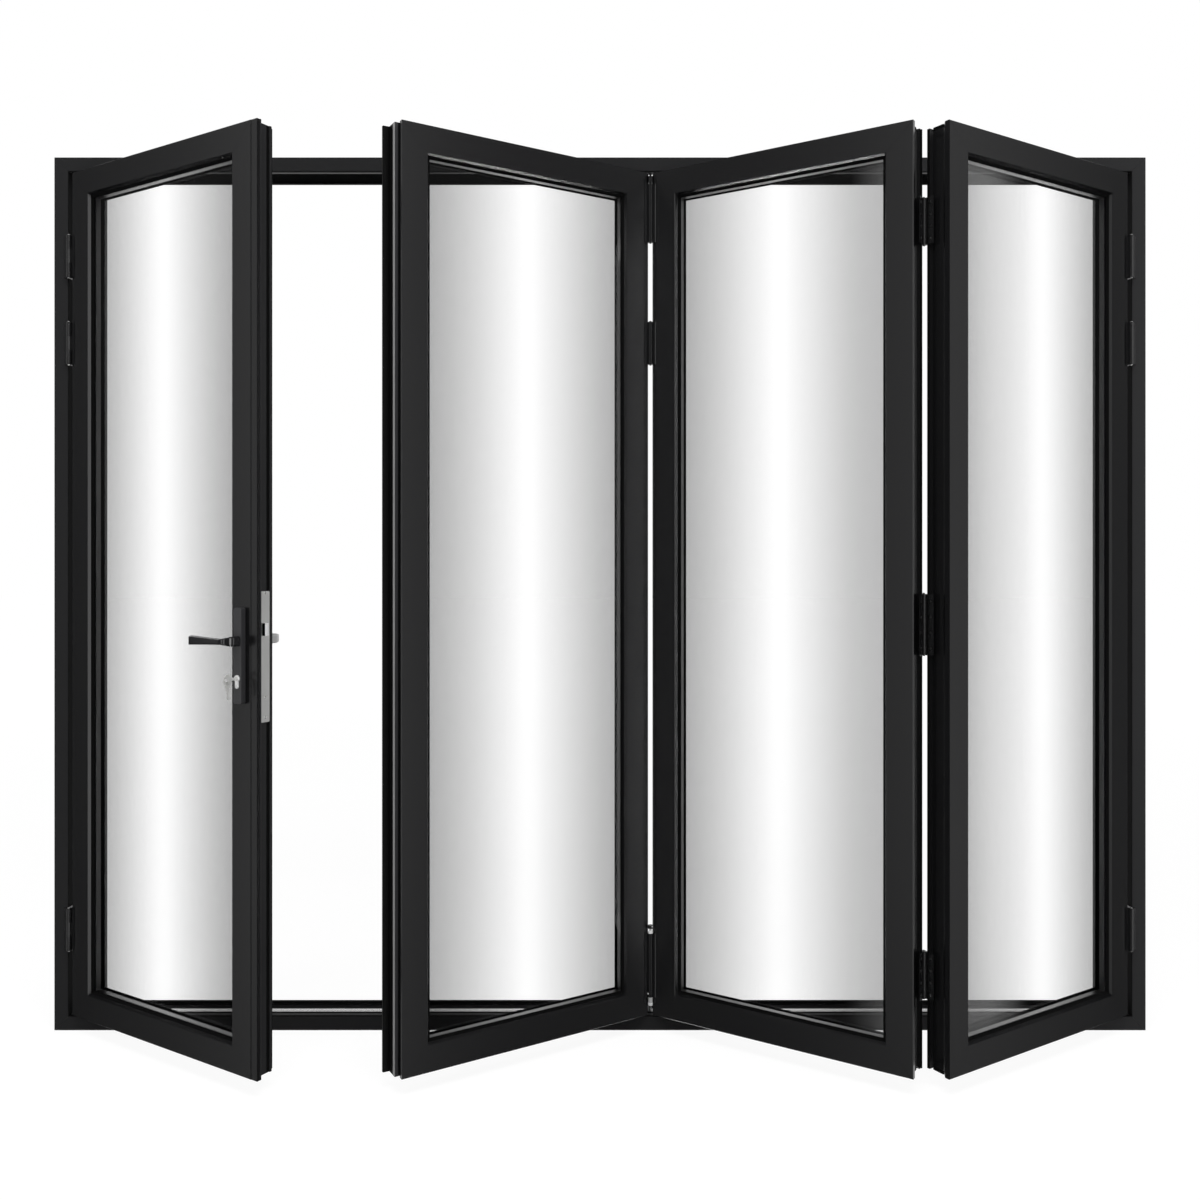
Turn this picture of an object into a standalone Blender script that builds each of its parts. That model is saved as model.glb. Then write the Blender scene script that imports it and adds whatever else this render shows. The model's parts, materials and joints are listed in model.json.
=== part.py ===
"""Four-leaf bifold patio door in an aluminium frame: a hinged access leaf on the left, three leaves folding right.

Metres, +Z up. The outside faces -Y, and the origin is the centre of the sill's flat underside.
"""

import math

import bmesh
import bpy
from mathutils import Matrix, Vector

# Frame
FRAME_WIDTH = 3.048
FRAME_HEIGHT = 2.438
FRAME_DEPTH = 0.110
FRAME_FACE = 0.039  # how wide each frame member looks from outside
FRAME_CORNER = 0.0015
SEAL_GROOVE_WIDTH = 0.004
SEAL_GROOVE_DEPTH = 0.005
SEAL_GROOVE_SETBACK = 0.080  # behind the frame's outer face

# Head track and sill rail
TRACK_SETBACK = 0.035  # centre line behind the frame's outer face
RAIL_SETBACK = 0.044
TRACK_WIDTH = 0.0254
TRACK_HEIGHT = 0.022
TRACK_WALL = 0.0025
TRACK_MOUTH = 0.012
TRACK_RECESS = 0.010  # the track's mouth above the head's clear edge
RAIL_WIDTH = 0.018
RAIL_HEIGHT = 0.010
RAIL_SLOT = 0.007
RAIL_FLOOR = 0.003
CHANNEL_BACK = 0.104  # the head's and sill's channels end here, behind the outer face

# Leaves
FOLD_ANGLE = math.radians(31.8)  # turn of each leaf out of the frame's plane
LEAF_CLEARANCE = 0.005  # above and below each leaf
MEETING_GAP = 0.030  # between leaves 1 and 2 when all are closed
HINGE_STANDOFF = 0.0084  # pivot axis in front of the face that it stands on
HINGE_EDGE = 0.0035  # pivot axis to the edge of a leaf
HINGE_JAMB = 0.0055  # pivot axis to the edge of a jamb

# Sash section
SASH_FACE = 0.069
SASH_DEPTH = 0.070
SASH_CORNER = 0.0012
GLAZING_WALL = 0.009  # depth of the steep wall inside the outer face
GLAZING_WALL_LEAN = 0.0035
GLAZING_SLOPE = 0.0055
GLAZING_SLOPE_DEPTH = 0.0052
GLAZING_LIP = 0.001  # thickness of the slope's end at the glass
POCKET_INSET = 0.006  # pocket floor outside the face's inner edge
GROOVE_DEPTH = 0.009  # hardware groove round the edge of a leaf
OUTER_FLANGE = 0.014
INNER_FLANGE = 0.006
INNER_EDGE = 0.0015
GROOVE_SLOPE = 0.012
GROOVE_BACK_SLOPE = 0.004

# Glass and bead
GLASS_THICKNESS = 0.030
GLASS_COVER = 0.0135  # how far the outer lip covers the glass
BEAD_REBATE = 0.002  # the bead's seat behind the glass
BEAD_FACE = 0.0255
BEAD_SIGHT = 0.010  # bead's sight line past the face's inner edge
BEAD_SLOPE = 0.0225  # how far its inner face slopes back from the sight line

# Meeting profiles
MEETING_FLANGE = 0.021
MEETING_FLANGE_SETBACK = 0.0095
MEETING_FLANGE_THICKNESS = 0.0055
MEETING_BODY = 0.003
MEETING_LIP = 0.006
MEETING_LIP_WIDTH = 0.0055
SHELF_SETBACK = 0.024
SHELF_REACH = 0.009
INNER_COVER_REACH = 0.025
INNER_COVER_THICKNESS = 0.008

# Hinges
BARREL_RADIUS = 0.0065
PIN_RADIUS = 0.003
PIN_END = 0.0025
PLATE_THICKNESS = 0.0025
PLATE_DEPTH = 0.022
WING_WIDTH = 0.010
WING_THICKNESS = 0.003
HINGE_HEIGHT = 0.118
GRIP_HINGE_HEIGHT = 0.153
KNUCKLE_GAP = 0.0005
KNUCKLE_SHARE = 1 / 3  # of a hinge's height
HINGE_RISE = 0.246  # lowest jamb hinge's centre over the sill's clear edge
HINGE_DROP = 0.240  # highest jamb hinge's centre under the head's clear edge
HINGE_PAIR_SPACING = 0.242  # between the two upper jamb hinges
INNER_HINGE_RISE = 0.239
INNER_HINGE_DROP = 0.237
GRIP_HINGE_SHARE = 0.4725  # how far up the clear height the middle one of the inner hinges is
CARRIER_HINGE_HEIGHT = 0.163
CARRIER_HINGE_DROP = 0.120  # its centre under the head's clear edge
GUIDE_HINGE_HEIGHT = 0.178
GUIDE_HINGE_RISE = 0.146  # its centre over the sill's clear edge
ARM_THICKNESS = 0.022
ARM_WIDTH = 0.010
SPINDLE_RADIUS = 0.0045
GUIDE_PIN_RADIUS = 0.0026
TROLLEY_LENGTH = 0.046
TROLLEY_HEIGHT = 0.016
TROLLEY_CORNER = 0.004

# Lock and handles
HANDLE_HEIGHT = 1.117  # spindle axis above the sill's underside
BACKSET = 0.0325  # spindle axis in from the leaf's edge
HANDLE_PLATE = (0.028, 0.237, 0.014)  # width, height, thickness
HANDLE_PLATE_DROP = 0.0361  # plate's centre under the spindle
HANDLE_PLATE_CORNER = 0.006
NECK_RADIUS = 0.009
NECK_SOCKET = 0.004  # how far the neck sinks into its plate
LEVER_REACH = 0.133
LEVER_PROJECTION = 0.048  # blade's centre line in front of the leaf's face
LEVER_TIP = (0.011, 0.023)  # depth and height of the blade at its tip
LEVER_WAIST = (0.010, 0.015)
LEVER_BEND = 0.016
LEVER_END_ROUND = 0.003
SOFT_CORNER = 0.6  # power of the lever's rounded section
SPINDLE_SIDE = 0.008
SPINDLE_HOLE_RADIUS = 0.0075
CYLINDER_DROP = 0.092
CYLINDER_RADIUS = 0.0085
CYLINDER_BODY_HALF = 0.005
CYLINDER_TAIL = 0.0245
CYLINDER_PROUD = 0.003
LOCK_FIT = 0.0005
FACEPLATE = (0.026, 0.324, 0.003)  # width across the edge, height, thickness
FACEPLATE_CORNER = 0.003
FACEPLATE_SETBACK = 0.040  # centre line behind the leaf's outer face
FACEPLATE_DROP = 0.0403  # its centre under the spindle
LATCH_RISE = 0.0275  # latch's centre over the spindle
LATCH = (0.019, 0.031, 0.036)  # width across the edge, height, length
LATCH_THROW = 0.0095
LATCH_TIP = 0.004
LATCH_BEVEL = 0.0085
KEY_BOW_RADIUS = 0.0135
KEY_THICKNESS = 0.0025
KEY_SHANK = (0.006, 0.008)  # width, length between the lock and the bow
KEY_RING_RADIUS = 0.0085
KEY_RING_WIRE = 0.0011
SPARE_KEY_BLADE = (0.007, 0.024)
KEY_OVERLAP = 0.0015  # how far a key's parts run into each other
KEY_ROUNDING = 0.0008
KEY_HOLE_SHARE = 0.55  # the ring passes this share of the bow's radius from its centre
SPARE_KEY_SHARE = 0.9  # the second bow's size

GAP = 0.0003  # between pieces that seat on each other
ROUND_SIDES = 20

# Worked out from the sizes above
FRONT = -FRAME_DEPTH / 2
CLEAR_HALF = FRAME_WIDTH / 2 - FRAME_FACE
CLEAR_TOP = FRAME_HEIGHT - FRAME_FACE
PIVOT_X = CLEAR_HALF - HINGE_JAMB
PIVOT_Y = FRONT - HINGE_STANDOFF
UPPER_HINGE_HEIGHT = CLEAR_TOP - HINGE_DROP - HINGE_PAIR_SPACING
JAMB_HINGE_HEIGHTS = (FRAME_FACE + HINGE_RISE, UPPER_HINGE_HEIGHT, CLEAR_TOP - HINGE_DROP)
INNER_HINGE_HEIGHTS = (
    FRAME_FACE + INNER_HINGE_RISE,
    FRAME_FACE + (CLEAR_TOP - FRAME_FACE) * GRIP_HINGE_SHARE,
    CLEAR_TOP - INNER_HINGE_DROP,
)
LEAF_WIDTH = (2 * PIVOT_X - 6 * HINGE_EDGE - MEETING_GAP) / 4
LEAF_PITCH = LEAF_WIDTH + 2 * HINGE_EDGE
LEAF_BOTTOM = FRAME_FACE + LEAF_CLEARANCE
LEAF_HEIGHT = CLEAR_TOP - LEAF_CLEARANCE - LEAF_BOTTOM
LIP_EDGE = SASH_FACE + GLAZING_WALL_LEAN + GLAZING_SLOPE
LIP_DEPTH = GLAZING_WALL + GLAZING_SLOPE_DEPTH
GLASS_FRONT = LIP_DEPTH + GLAZING_LIP + GAP
GLASS_BACK = GLASS_FRONT + GLASS_THICKNESS
GLASS_EDGE = LIP_EDGE - GLASS_COVER
POCKET_EDGE = SASH_FACE - POCKET_INSET
BEAD_SEAT = GLASS_BACK + BEAD_REBATE
BEAD_START = SASH_FACE + BEAD_SIGHT - BEAD_FACE
GROOVE_BACK = SASH_DEPTH - INNER_FLANGE - GROOVE_BACK_SLOPE
GROOVE_FRONT = OUTER_FLANGE + GROOVE_SLOPE


def clear_scene():
    for obj in list(bpy.data.objects):
        bpy.data.objects.remove(obj, do_unlink=True)


def material(name, color, roughness, metallic=0.0, transmission=0.0):
    made = bpy.data.materials.new(name)
    made.use_nodes = True
    shader = made.node_tree.nodes["Principled BSDF"]
    shader.inputs["Base Color"].default_value = (*color, 1.0)
    shader.inputs["Roughness"].default_value = roughness
    shader.inputs["Metallic"].default_value = metallic
    shader.inputs["Transmission Weight"].default_value = transmission
    made.diffuse_color = (*color, 1.0)
    return made


def link(name, data, parent=None, location=(0, 0, 0)):
    obj = bpy.data.objects.new(name, data)
    bpy.context.scene.collection.objects.link(obj)
    obj.parent = parent
    obj.location = location
    return obj


def empty(name, location, turn=0.0, parent=None):
    made = link(name, None, parent, location)
    made.rotation_euler.z = turn
    return made


def node(name, mesh, finish, parent=None, location=(0, 0, 0), smooth=False):
    mesh.materials.clear()
    mesh.materials.append(finish)
    if smooth:
        mesh.shade_smooth()
        mesh.set_sharp_from_angle(angle=math.radians(35))
    return link(name, mesh, parent, location)


def closed_mesh(name, points, faces):
    """Mesh from points and faces, with its normals turned outwards."""
    shape = bmesh.new()
    corners = [shape.verts.new(point) for point in points]
    for face in faces:
        shape.faces.new([corners[i] for i in face])
    bmesh.ops.recalc_face_normals(shape, faces=shape.faces)
    mesh = bpy.data.meshes.new(name)
    shape.to_mesh(mesh)
    shape.free()
    return mesh


def loft(name, rings):
    """Skin through rings with equally many points, with a cap at each end."""
    count = len(rings[0])
    points = [point for ring in rings for point in ring]
    faces = [list(range(count)), list(range(len(points) - count, len(points)))]
    for row in range(len(rings) - 1):
        for i in range(count):
            j = (i + 1) % count
            a, b = row * count, (row + 1) * count
            faces.append((a + i, a + j, b + j, b + i))
    return closed_mesh(name, points, faces)


def prism(name, outline, place, start, end):
    """Outline swept from start to end, which are lengths or functions of an outline point."""
    low = start if callable(start) else lambda a, b: start
    high = end if callable(end) else lambda a, b: end
    return loft(
        name,
        [
            [place(a, b, low(a, b)) for a, b in outline],
            [place(a, b, high(a, b)) for a, b in outline],
        ],
    )


def upright(a, b, c):
    return Vector((a, b, c))


def combined(first, joined=(), cut=()):
    """The first mesh united with the joined ones, less the cut ones."""
    base = link("combined", first)
    tools = []
    for operation, meshes in (("UNION", joined), ("DIFFERENCE", cut)):
        for mesh in meshes:
            tools.append(link("tool", mesh))
            modifier = base.modifiers.new(operation.lower(), "BOOLEAN")
            modifier.operation = operation
            modifier.object = tools[-1]
    bpy.context.view_layer.update()
    graph = bpy.context.evaluated_depsgraph_get()
    result = bpy.data.meshes.new_from_object(base.evaluated_get(graph))
    for obj in (base, *tools):
        bpy.data.objects.remove(obj, do_unlink=True)
    return result


def circle(radius, centre=(0, 0), sides=ROUND_SIDES, start=0.0, stop=math.tau):
    """Points round a circle, or along an arc where stop is less than a full turn."""
    steps = sides if stop - start >= math.tau - 1e-6 else sides + 1
    return [
        (
            centre[0] + radius * math.cos(start + (stop - start) * i / sides),
            centre[1] + radius * math.sin(start + (stop - start) * i / sides),
        )
        for i in range(steps)
    ]


def rounded_box(name, low, high, radius, axis=2):
    """Box whose edges along one axis are rounded, and whose ends are square."""
    u, v = [i for i in range(3) if i != axis]
    outline = []
    for side_u, side_v, first in ((1, 1, 0), (-1, 1, 1), (-1, -1, 2), (1, -1, 3)):
        centre = (
            (high[u] if side_u > 0 else low[u]) - side_u * radius,
            (high[v] if side_v > 0 else low[v]) - side_v * radius,
        )
        outline += circle(radius, centre, 4, first * math.pi / 2, (first + 1) * math.pi / 2)

    def place(a, b, c):
        point = Vector((0, 0, 0))
        point[u], point[v], point[axis] = a, b, c
        return point

    return prism(name, outline, place, low[axis], high[axis])


def channel_sides(centre, width, depth):
    """Clear side of the head or sill: one channel, with its track or rail against the front wall."""
    near = centre - width / 2 - GAP
    return [(near, 0), (near, depth), (CHANNEL_BACK, depth), (CHANNEL_BACK, 0)]


def seal_groove():
    """Clear side of a jamb: one narrow groove for its seal."""
    near = SEAL_GROOVE_SETBACK
    far = near + SEAL_GROOVE_WIDTH
    return [(near, 0), (near, SEAL_GROOVE_DEPTH), (far, SEAL_GROOVE_DEPTH), (far, 0)]


def frame_outline(clear_side):
    """Frame section as (depth behind the outer face, distance out from the clear edge)."""
    c = FRAME_CORNER
    depth, face = FRAME_DEPTH, FRAME_FACE
    return [(c, 0)] + clear_side + [
        (depth - c, 0),
        (depth, c),
        (depth, face - c),
        (depth - c, face),
        (c, face),
        (0, face - c),
        (0, c),
    ]


def mitred_ends(half):
    """Both ends of a bar that is centred on 0, where half is half its clear edge's length."""

    def end(depth, out):
        return half + out - GAP / math.sqrt(2)

    return lambda depth, out: -end(depth, out), end


def build_frame(paint, rail_metal):
    head = frame_outline(channel_sides(TRACK_SETBACK, TRACK_WIDTH, TRACK_RECESS + TRACK_HEIGHT + GAP))
    sill = frame_outline(channel_sides(RAIL_SETBACK, RAIL_WIDTH, RAIL_HEIGHT + GAP))
    jamb = frame_outline(seal_groove())
    mid = (CLEAR_TOP + FRAME_FACE) / 2
    clear_height_half = (CLEAR_TOP - FRAME_FACE) / 2

    def on_head(depth, out, along):
        return Vector((along, FRONT + depth, CLEAR_TOP + out))

    def on_sill(depth, out, along):
        return Vector((along, FRONT + depth, FRAME_FACE - out))

    def on_jamb(side):
        return lambda depth, out, along: Vector((side * (CLEAR_HALF + out), FRONT + depth, mid + along))

    node("frame_head", prism("head", head, on_head, *mitred_ends(CLEAR_HALF)), paint)
    node("frame_sill", prism("sill", sill, on_sill, *mitred_ends(CLEAR_HALF)), paint)
    for name, side in (("left_jamb", -1), ("right_jamb", 1)):
        node(name, prism(name, jamb, on_jamb(side), *mitred_ends(clear_height_half)), paint)

    half, wall, mouth = TRACK_WIDTH / 2, TRACK_WALL, TRACK_MOUTH / 2
    channel = [(-half, 0), (-mouth, 0), (-mouth, wall), (wall - half, wall)]
    channel += [(wall - half, TRACK_HEIGHT - wall), (half - wall, TRACK_HEIGHT - wall)]
    channel += [(half - wall, wall), (mouth, wall), (mouth, 0), (half, 0)]
    channel += [(half, TRACK_HEIGHT), (-half, TRACK_HEIGHT)]
    channel = [(TRACK_SETBACK + a, TRACK_RECESS + b) for a, b in channel]
    run = CLEAR_HALF - GAP
    node("head_track", prism("track", channel, on_head, -run, run), paint)

    half, slot = RAIL_WIDTH / 2, RAIL_SLOT / 2
    rail = [(-half, 0), (-slot, 0), (-slot, RAIL_HEIGHT - RAIL_FLOOR)]
    rail += [(slot, RAIL_HEIGHT - RAIL_FLOOR), (slot, 0), (half, 0)]
    rail += [(half, RAIL_HEIGHT), (-half, RAIL_HEIGHT)]
    rail = [(RAIL_SETBACK + a, b) for a, b in rail]
    node("sill_guide_rail", prism("rail", rail, on_sill, -run, run), rail_metal)


def sash_outline():
    """Sash section as (distance in from the leaf's edge, depth behind its outer face)."""
    c = SASH_CORNER
    return [
        (0, c),
        (c, 0),
        (SASH_FACE - c, 0),
        (SASH_FACE, c),
        (SASH_FACE + GLAZING_WALL_LEAN, GLAZING_WALL),
        (LIP_EDGE, LIP_DEPTH),
        (LIP_EDGE, GLASS_FRONT - GAP),
        (POCKET_EDGE, GLASS_FRONT - GAP),
        (POCKET_EDGE, BEAD_SEAT),
        (BEAD_START - GAP, BEAD_SEAT),
        (BEAD_START - GAP, SASH_DEPTH - c),
        (BEAD_START - GAP - c, SASH_DEPTH),
        (INNER_EDGE + c, SASH_DEPTH),
        (INNER_EDGE, SASH_DEPTH - c),
        (INNER_EDGE, SASH_DEPTH - INNER_FLANGE),
        (GROOVE_DEPTH, GROOVE_BACK),
        (GROOVE_DEPTH, GROOVE_FRONT),
        (0, OUTER_FLANGE),
    ]


def bead_outline():
    """Glazing bead section, in the sash section's coordinates."""
    c = SASH_CORNER
    sight = SASH_FACE + BEAD_SIGHT
    return [
        (BEAD_START, BEAD_SEAT + GAP),
        (POCKET_EDGE + GAP, BEAD_SEAT + GAP),
        (POCKET_EDGE + GAP, GLASS_BACK + GAP),
        (sight, GLASS_BACK + GAP),
        (sight, BEAD_SEAT + GAP),
        (sight - BEAD_SLOPE, SASH_DEPTH),
        (BEAD_START + c, SASH_DEPTH),
        (BEAD_START, SASH_DEPTH - c),
    ]


def sash_bars(mitre):
    """Each bar's name, how it is placed in the leaf, and its two mitred ends."""
    width, height = LEAF_WIDTH, LEAF_HEIGHT

    def near(inset, depth):
        return inset + mitre

    def far(length):
        return lambda inset, depth: length - inset - mitre

    return (
        ("left_stile", lambda i, d, along: Vector((i, d, along)), near, far(height)),
        ("right_stile", lambda i, d, along: Vector((width - i, d, along)), near, far(height)),
        ("bottom_rail", lambda i, d, along: Vector((along, d, i)), near, far(width)),
        ("top_rail", lambda i, d, along: Vector((along, d, height - i)), near, far(width)),
    )


def bead_ring(name):
    """One closed ring of bead, mitred at its corners without a gap."""
    outline = bead_outline()
    width, height = LEAF_WIDTH, LEAF_HEIGHT
    rings = [
        [Vector((i, d, i)) for i, d in outline],
        [Vector((width - i, d, i)) for i, d in outline],
        [Vector((width - i, d, height - i)) for i, d in outline],
        [Vector((i, d, height - i)) for i, d in outline],
    ]
    count = len(outline)
    faces = []
    for corner in range(4):
        a, b = corner * count, (corner + 1) % 4 * count
        for i in range(count):
            j = (i + 1) % count
            faces.append((a + i, a + j, b + j, b + i))
    return closed_mesh(name, [point for ring in rings for point in ring], faces)


def build_leaf(name, holder, corner, paint, glass, cuts):
    """The bars, glass and bead of one leaf, whose left outer bottom corner is at corner."""
    outline = sash_outline()
    for bar, place, start, end in sash_bars(GAP / math.sqrt(2)):
        mesh = prism(bar, outline, place, start, end)
        if bar in cuts:
            mesh = combined(mesh, cut=cuts[bar]())
        node(f"{name}_{bar}", mesh, paint, holder, corner)
    low = (GLASS_EDGE, GLASS_FRONT, GLASS_EDGE)
    high = (LEAF_WIDTH - GLASS_EDGE, GLASS_BACK, LEAF_HEIGHT - GLASS_EDGE)
    pane = [(low[0], low[1]), (high[0], low[1]), (high[0], high[1]), (low[0], high[1])]
    node(f"{name}_glass", prism("glass", pane, upright, low[2], high[2]), glass, holder, corner)
    node(f"{name}_glazing_bead", bead_ring("bead"), paint, holder, corner)


def groove_side(front):
    """The side of a meeting profile that sits in the hardware groove, from its inner to its outer end."""
    return [
        (GAP, SASH_DEPTH - INNER_FLANGE - GROOVE_BACK_SLOPE),
        (GAP - GROOVE_DEPTH, GROOVE_BACK - 2 * GAP),
        (GAP - GROOVE_DEPTH, GROOVE_FRONT + 4 * GAP),
        front,
    ]


def access_meeting_outline():
    """Leaf 1's meeting profile as (distance out from the stile's edge, depth behind the outer face)."""
    flange_back = MEETING_FLANGE_SETBACK + MEETING_FLANGE_THICKNESS
    back = SASH_DEPTH - INNER_FLANGE - GROOVE_BACK_SLOPE
    c = SASH_CORNER
    return [
        (GAP, MEETING_FLANGE_SETBACK),
        (MEETING_FLANGE - c, MEETING_FLANGE_SETBACK),
        (MEETING_FLANGE, MEETING_FLANGE_SETBACK + c),
        (MEETING_FLANGE, flange_back - c),
        (MEETING_FLANGE - c, flange_back),
        (MEETING_BODY, flange_back + c),
        (MEETING_BODY, back - MEETING_LIP_WIDTH - c),
        (MEETING_LIP, back - MEETING_LIP_WIDTH),
        (MEETING_LIP, back),
    ] + groove_side((GAP, OUTER_FLANGE + 4 * GAP))


def lead_meeting_outline():
    """Leaf 2's meeting profile, in the same coordinates as leaf 1's."""
    c = SASH_CORNER
    cover = SASH_DEPTH - INNER_COVER_THICKNESS
    reach = INNER_COVER_REACH
    back = SASH_DEPTH - INNER_FLANGE - GROOVE_BACK_SLOPE
    return [
        (SHELF_REACH - c, SHELF_SETBACK),
        (SHELF_REACH, SHELF_SETBACK + c),
        (SHELF_REACH, cover - c),
        (reach - c, cover),
        (reach, cover + c),
        (reach, SASH_DEPTH - c),
        (reach - c, SASH_DEPTH),
        (GAP, SASH_DEPTH),
        (GAP, back),
        (GAP - GROOVE_DEPTH, GROOVE_BACK - 2 * GAP),
        (GAP - GROOVE_DEPTH, GROOVE_FRONT + 4 * GAP),
        (2 * GAP - GROOVE_DEPTH * 2 / 3, SHELF_SETBACK),
    ]


def half_outline(edge):
    """One half of a hinge in plan, as (distance towards its own leaf, distance towards the face)."""
    seat = HINGE_STANDOFF - GAP
    keep = BARREL_RADIUS + KNUCKLE_GAP
    inner = edge - GAP - PLATE_THICKNESS
    wing_front = seat - WING_THICKNESS
    first = math.asin(wing_front / keep)
    last = math.acos(inner / keep)
    wing_end = edge + WING_WIDTH
    return [
        (inner, HINGE_STANDOFF + PLATE_DEPTH),
        (edge - GAP, HINGE_STANDOFF + PLATE_DEPTH),
        (edge - GAP, seat),
        (wing_end, seat),
        (wing_end, wing_front + SASH_CORNER),
        (wing_end - SASH_CORNER, wing_front),
    ] + circle(keep, (0, 0), 3, first, last)


def web_outline(edge):
    """The web that joins a knuckle to its own half."""
    inner = edge - GAP - PLATE_THICKNESS
    seat = HINGE_STANDOFF - GAP
    outer = BARREL_RADIUS - GAP
    return [(inner, 0), (outer, 0), (outer, seat - WING_THICKNESS / 3), (inner, seat - GAP)]


def turned(outline, turn, side, inward):
    """Outline with its first axis along side and its second along inward, then turned about the axis."""
    points = []
    for a, b in outline:
        point = Matrix.Rotation(turn, 2) @ Vector((a * side, b * inward))
        points.append((point.x, point.y))
    return points


def half_mesh(edge, turn, side, inward, height, knuckles, pin):
    """One half with its own knuckles, and with the pin or a bore for it."""
    plate = turned(half_outline(edge), turn, side, inward)
    web = turned(web_outline(edge), turn, side, inward)
    joined = []
    for low, high in knuckles:
        joined.append(prism("knuckle", circle(BARREL_RADIUS), upright, low, high))
        joined.append(prism("web", web, upright, low, high))
    bore = []
    reach = height / 2 + PIN_END
    if pin:
        joined.append(prism("pin", circle(PIN_RADIUS), upright, -reach, reach))
    else:
        bore.append(prism("bore", circle(PIN_RADIUS + 2 * GAP), upright, -reach, reach))
    body = prism("plate", plate, upright, -height / 2, height / 2)
    return combined(body, joined, bore)


def whole_hinge(height, halves):
    """A hinge of a fold that stays put: both halves on one barrel, with fine lines between its knuckles."""
    knuckle = height * KNUCKLE_SHARE / 2
    rings = []
    for z, radius in (
        (-height / 2 - PIN_END, PIN_RADIUS),
        (-height / 2, PIN_RADIUS),
        (-height / 2, BARREL_RADIUS),
        (-knuckle, BARREL_RADIUS),
        (-knuckle, BARREL_RADIUS - KNUCKLE_GAP),
        (KNUCKLE_GAP - knuckle, BARREL_RADIUS - KNUCKLE_GAP),
        (KNUCKLE_GAP - knuckle, BARREL_RADIUS),
        (knuckle - KNUCKLE_GAP, BARREL_RADIUS),
        (knuckle - KNUCKLE_GAP, BARREL_RADIUS - KNUCKLE_GAP),
        (knuckle, BARREL_RADIUS - KNUCKLE_GAP),
        (knuckle, BARREL_RADIUS),
        (height / 2, BARREL_RADIUS),
        (height / 2, PIN_RADIUS),
        (height / 2 + PIN_END, PIN_RADIUS),
    ):
        rings.append([Vector((x, y, z)) for x, y in circle(radius)])
    joined = []
    for edge, turn, side, inward in halves:
        for outline in (half_outline(edge), web_outline(edge)):
            points = turned(outline, turn, side, inward)
            joined.append(prism("half", points, upright, -height / 2, height / 2))
    return combined(loft("barrel", rings), joined)


def arm_mesh(low, high, reach, spindle):
    """Arm from a hinge's axis back to a spindle, which spindle gives as (radius, low, high)."""
    half = ARM_WIDTH / 2
    outline = circle(BARREL_RADIUS, (0, 0), 10, math.pi, math.tau)
    outline += [(half, BARREL_RADIUS)] + circle(half, (0, reach), 8, 0, math.pi) + [(-half, BARREL_RADIUS)]
    radius, foot, top = spindle
    post = prism("post", circle(radius, (0, reach), 16), upright, foot, top)
    return combined(prism("arm", outline, upright, low, high), [post])


def build_left_hinges(metal, frame_side, leaf_side):
    height = HINGE_HEIGHT
    knuckle = height * KNUCKLE_SHARE / 2
    ends = [(-height / 2, -knuckle - KNUCKLE_GAP), (knuckle + KNUCKLE_GAP, height / 2)]
    fixed = half_mesh(HINGE_JAMB, 0, -1, 1, height, ends, True)
    moving = half_mesh(HINGE_EDGE, 0, 1, 1, height, [(-knuckle, knuckle)], False)
    for number, z in enumerate(JAMB_HINGE_HEIGHTS, 1):
        node(f"left_jamb_hinge_{number}", fixed.copy(), metal, frame_side, (0, 0, z), smooth=True)
        node(f"leaf_1_hinge_{number}", moving.copy(), metal, leaf_side, (0, 0, z), smooth=True)


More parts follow.
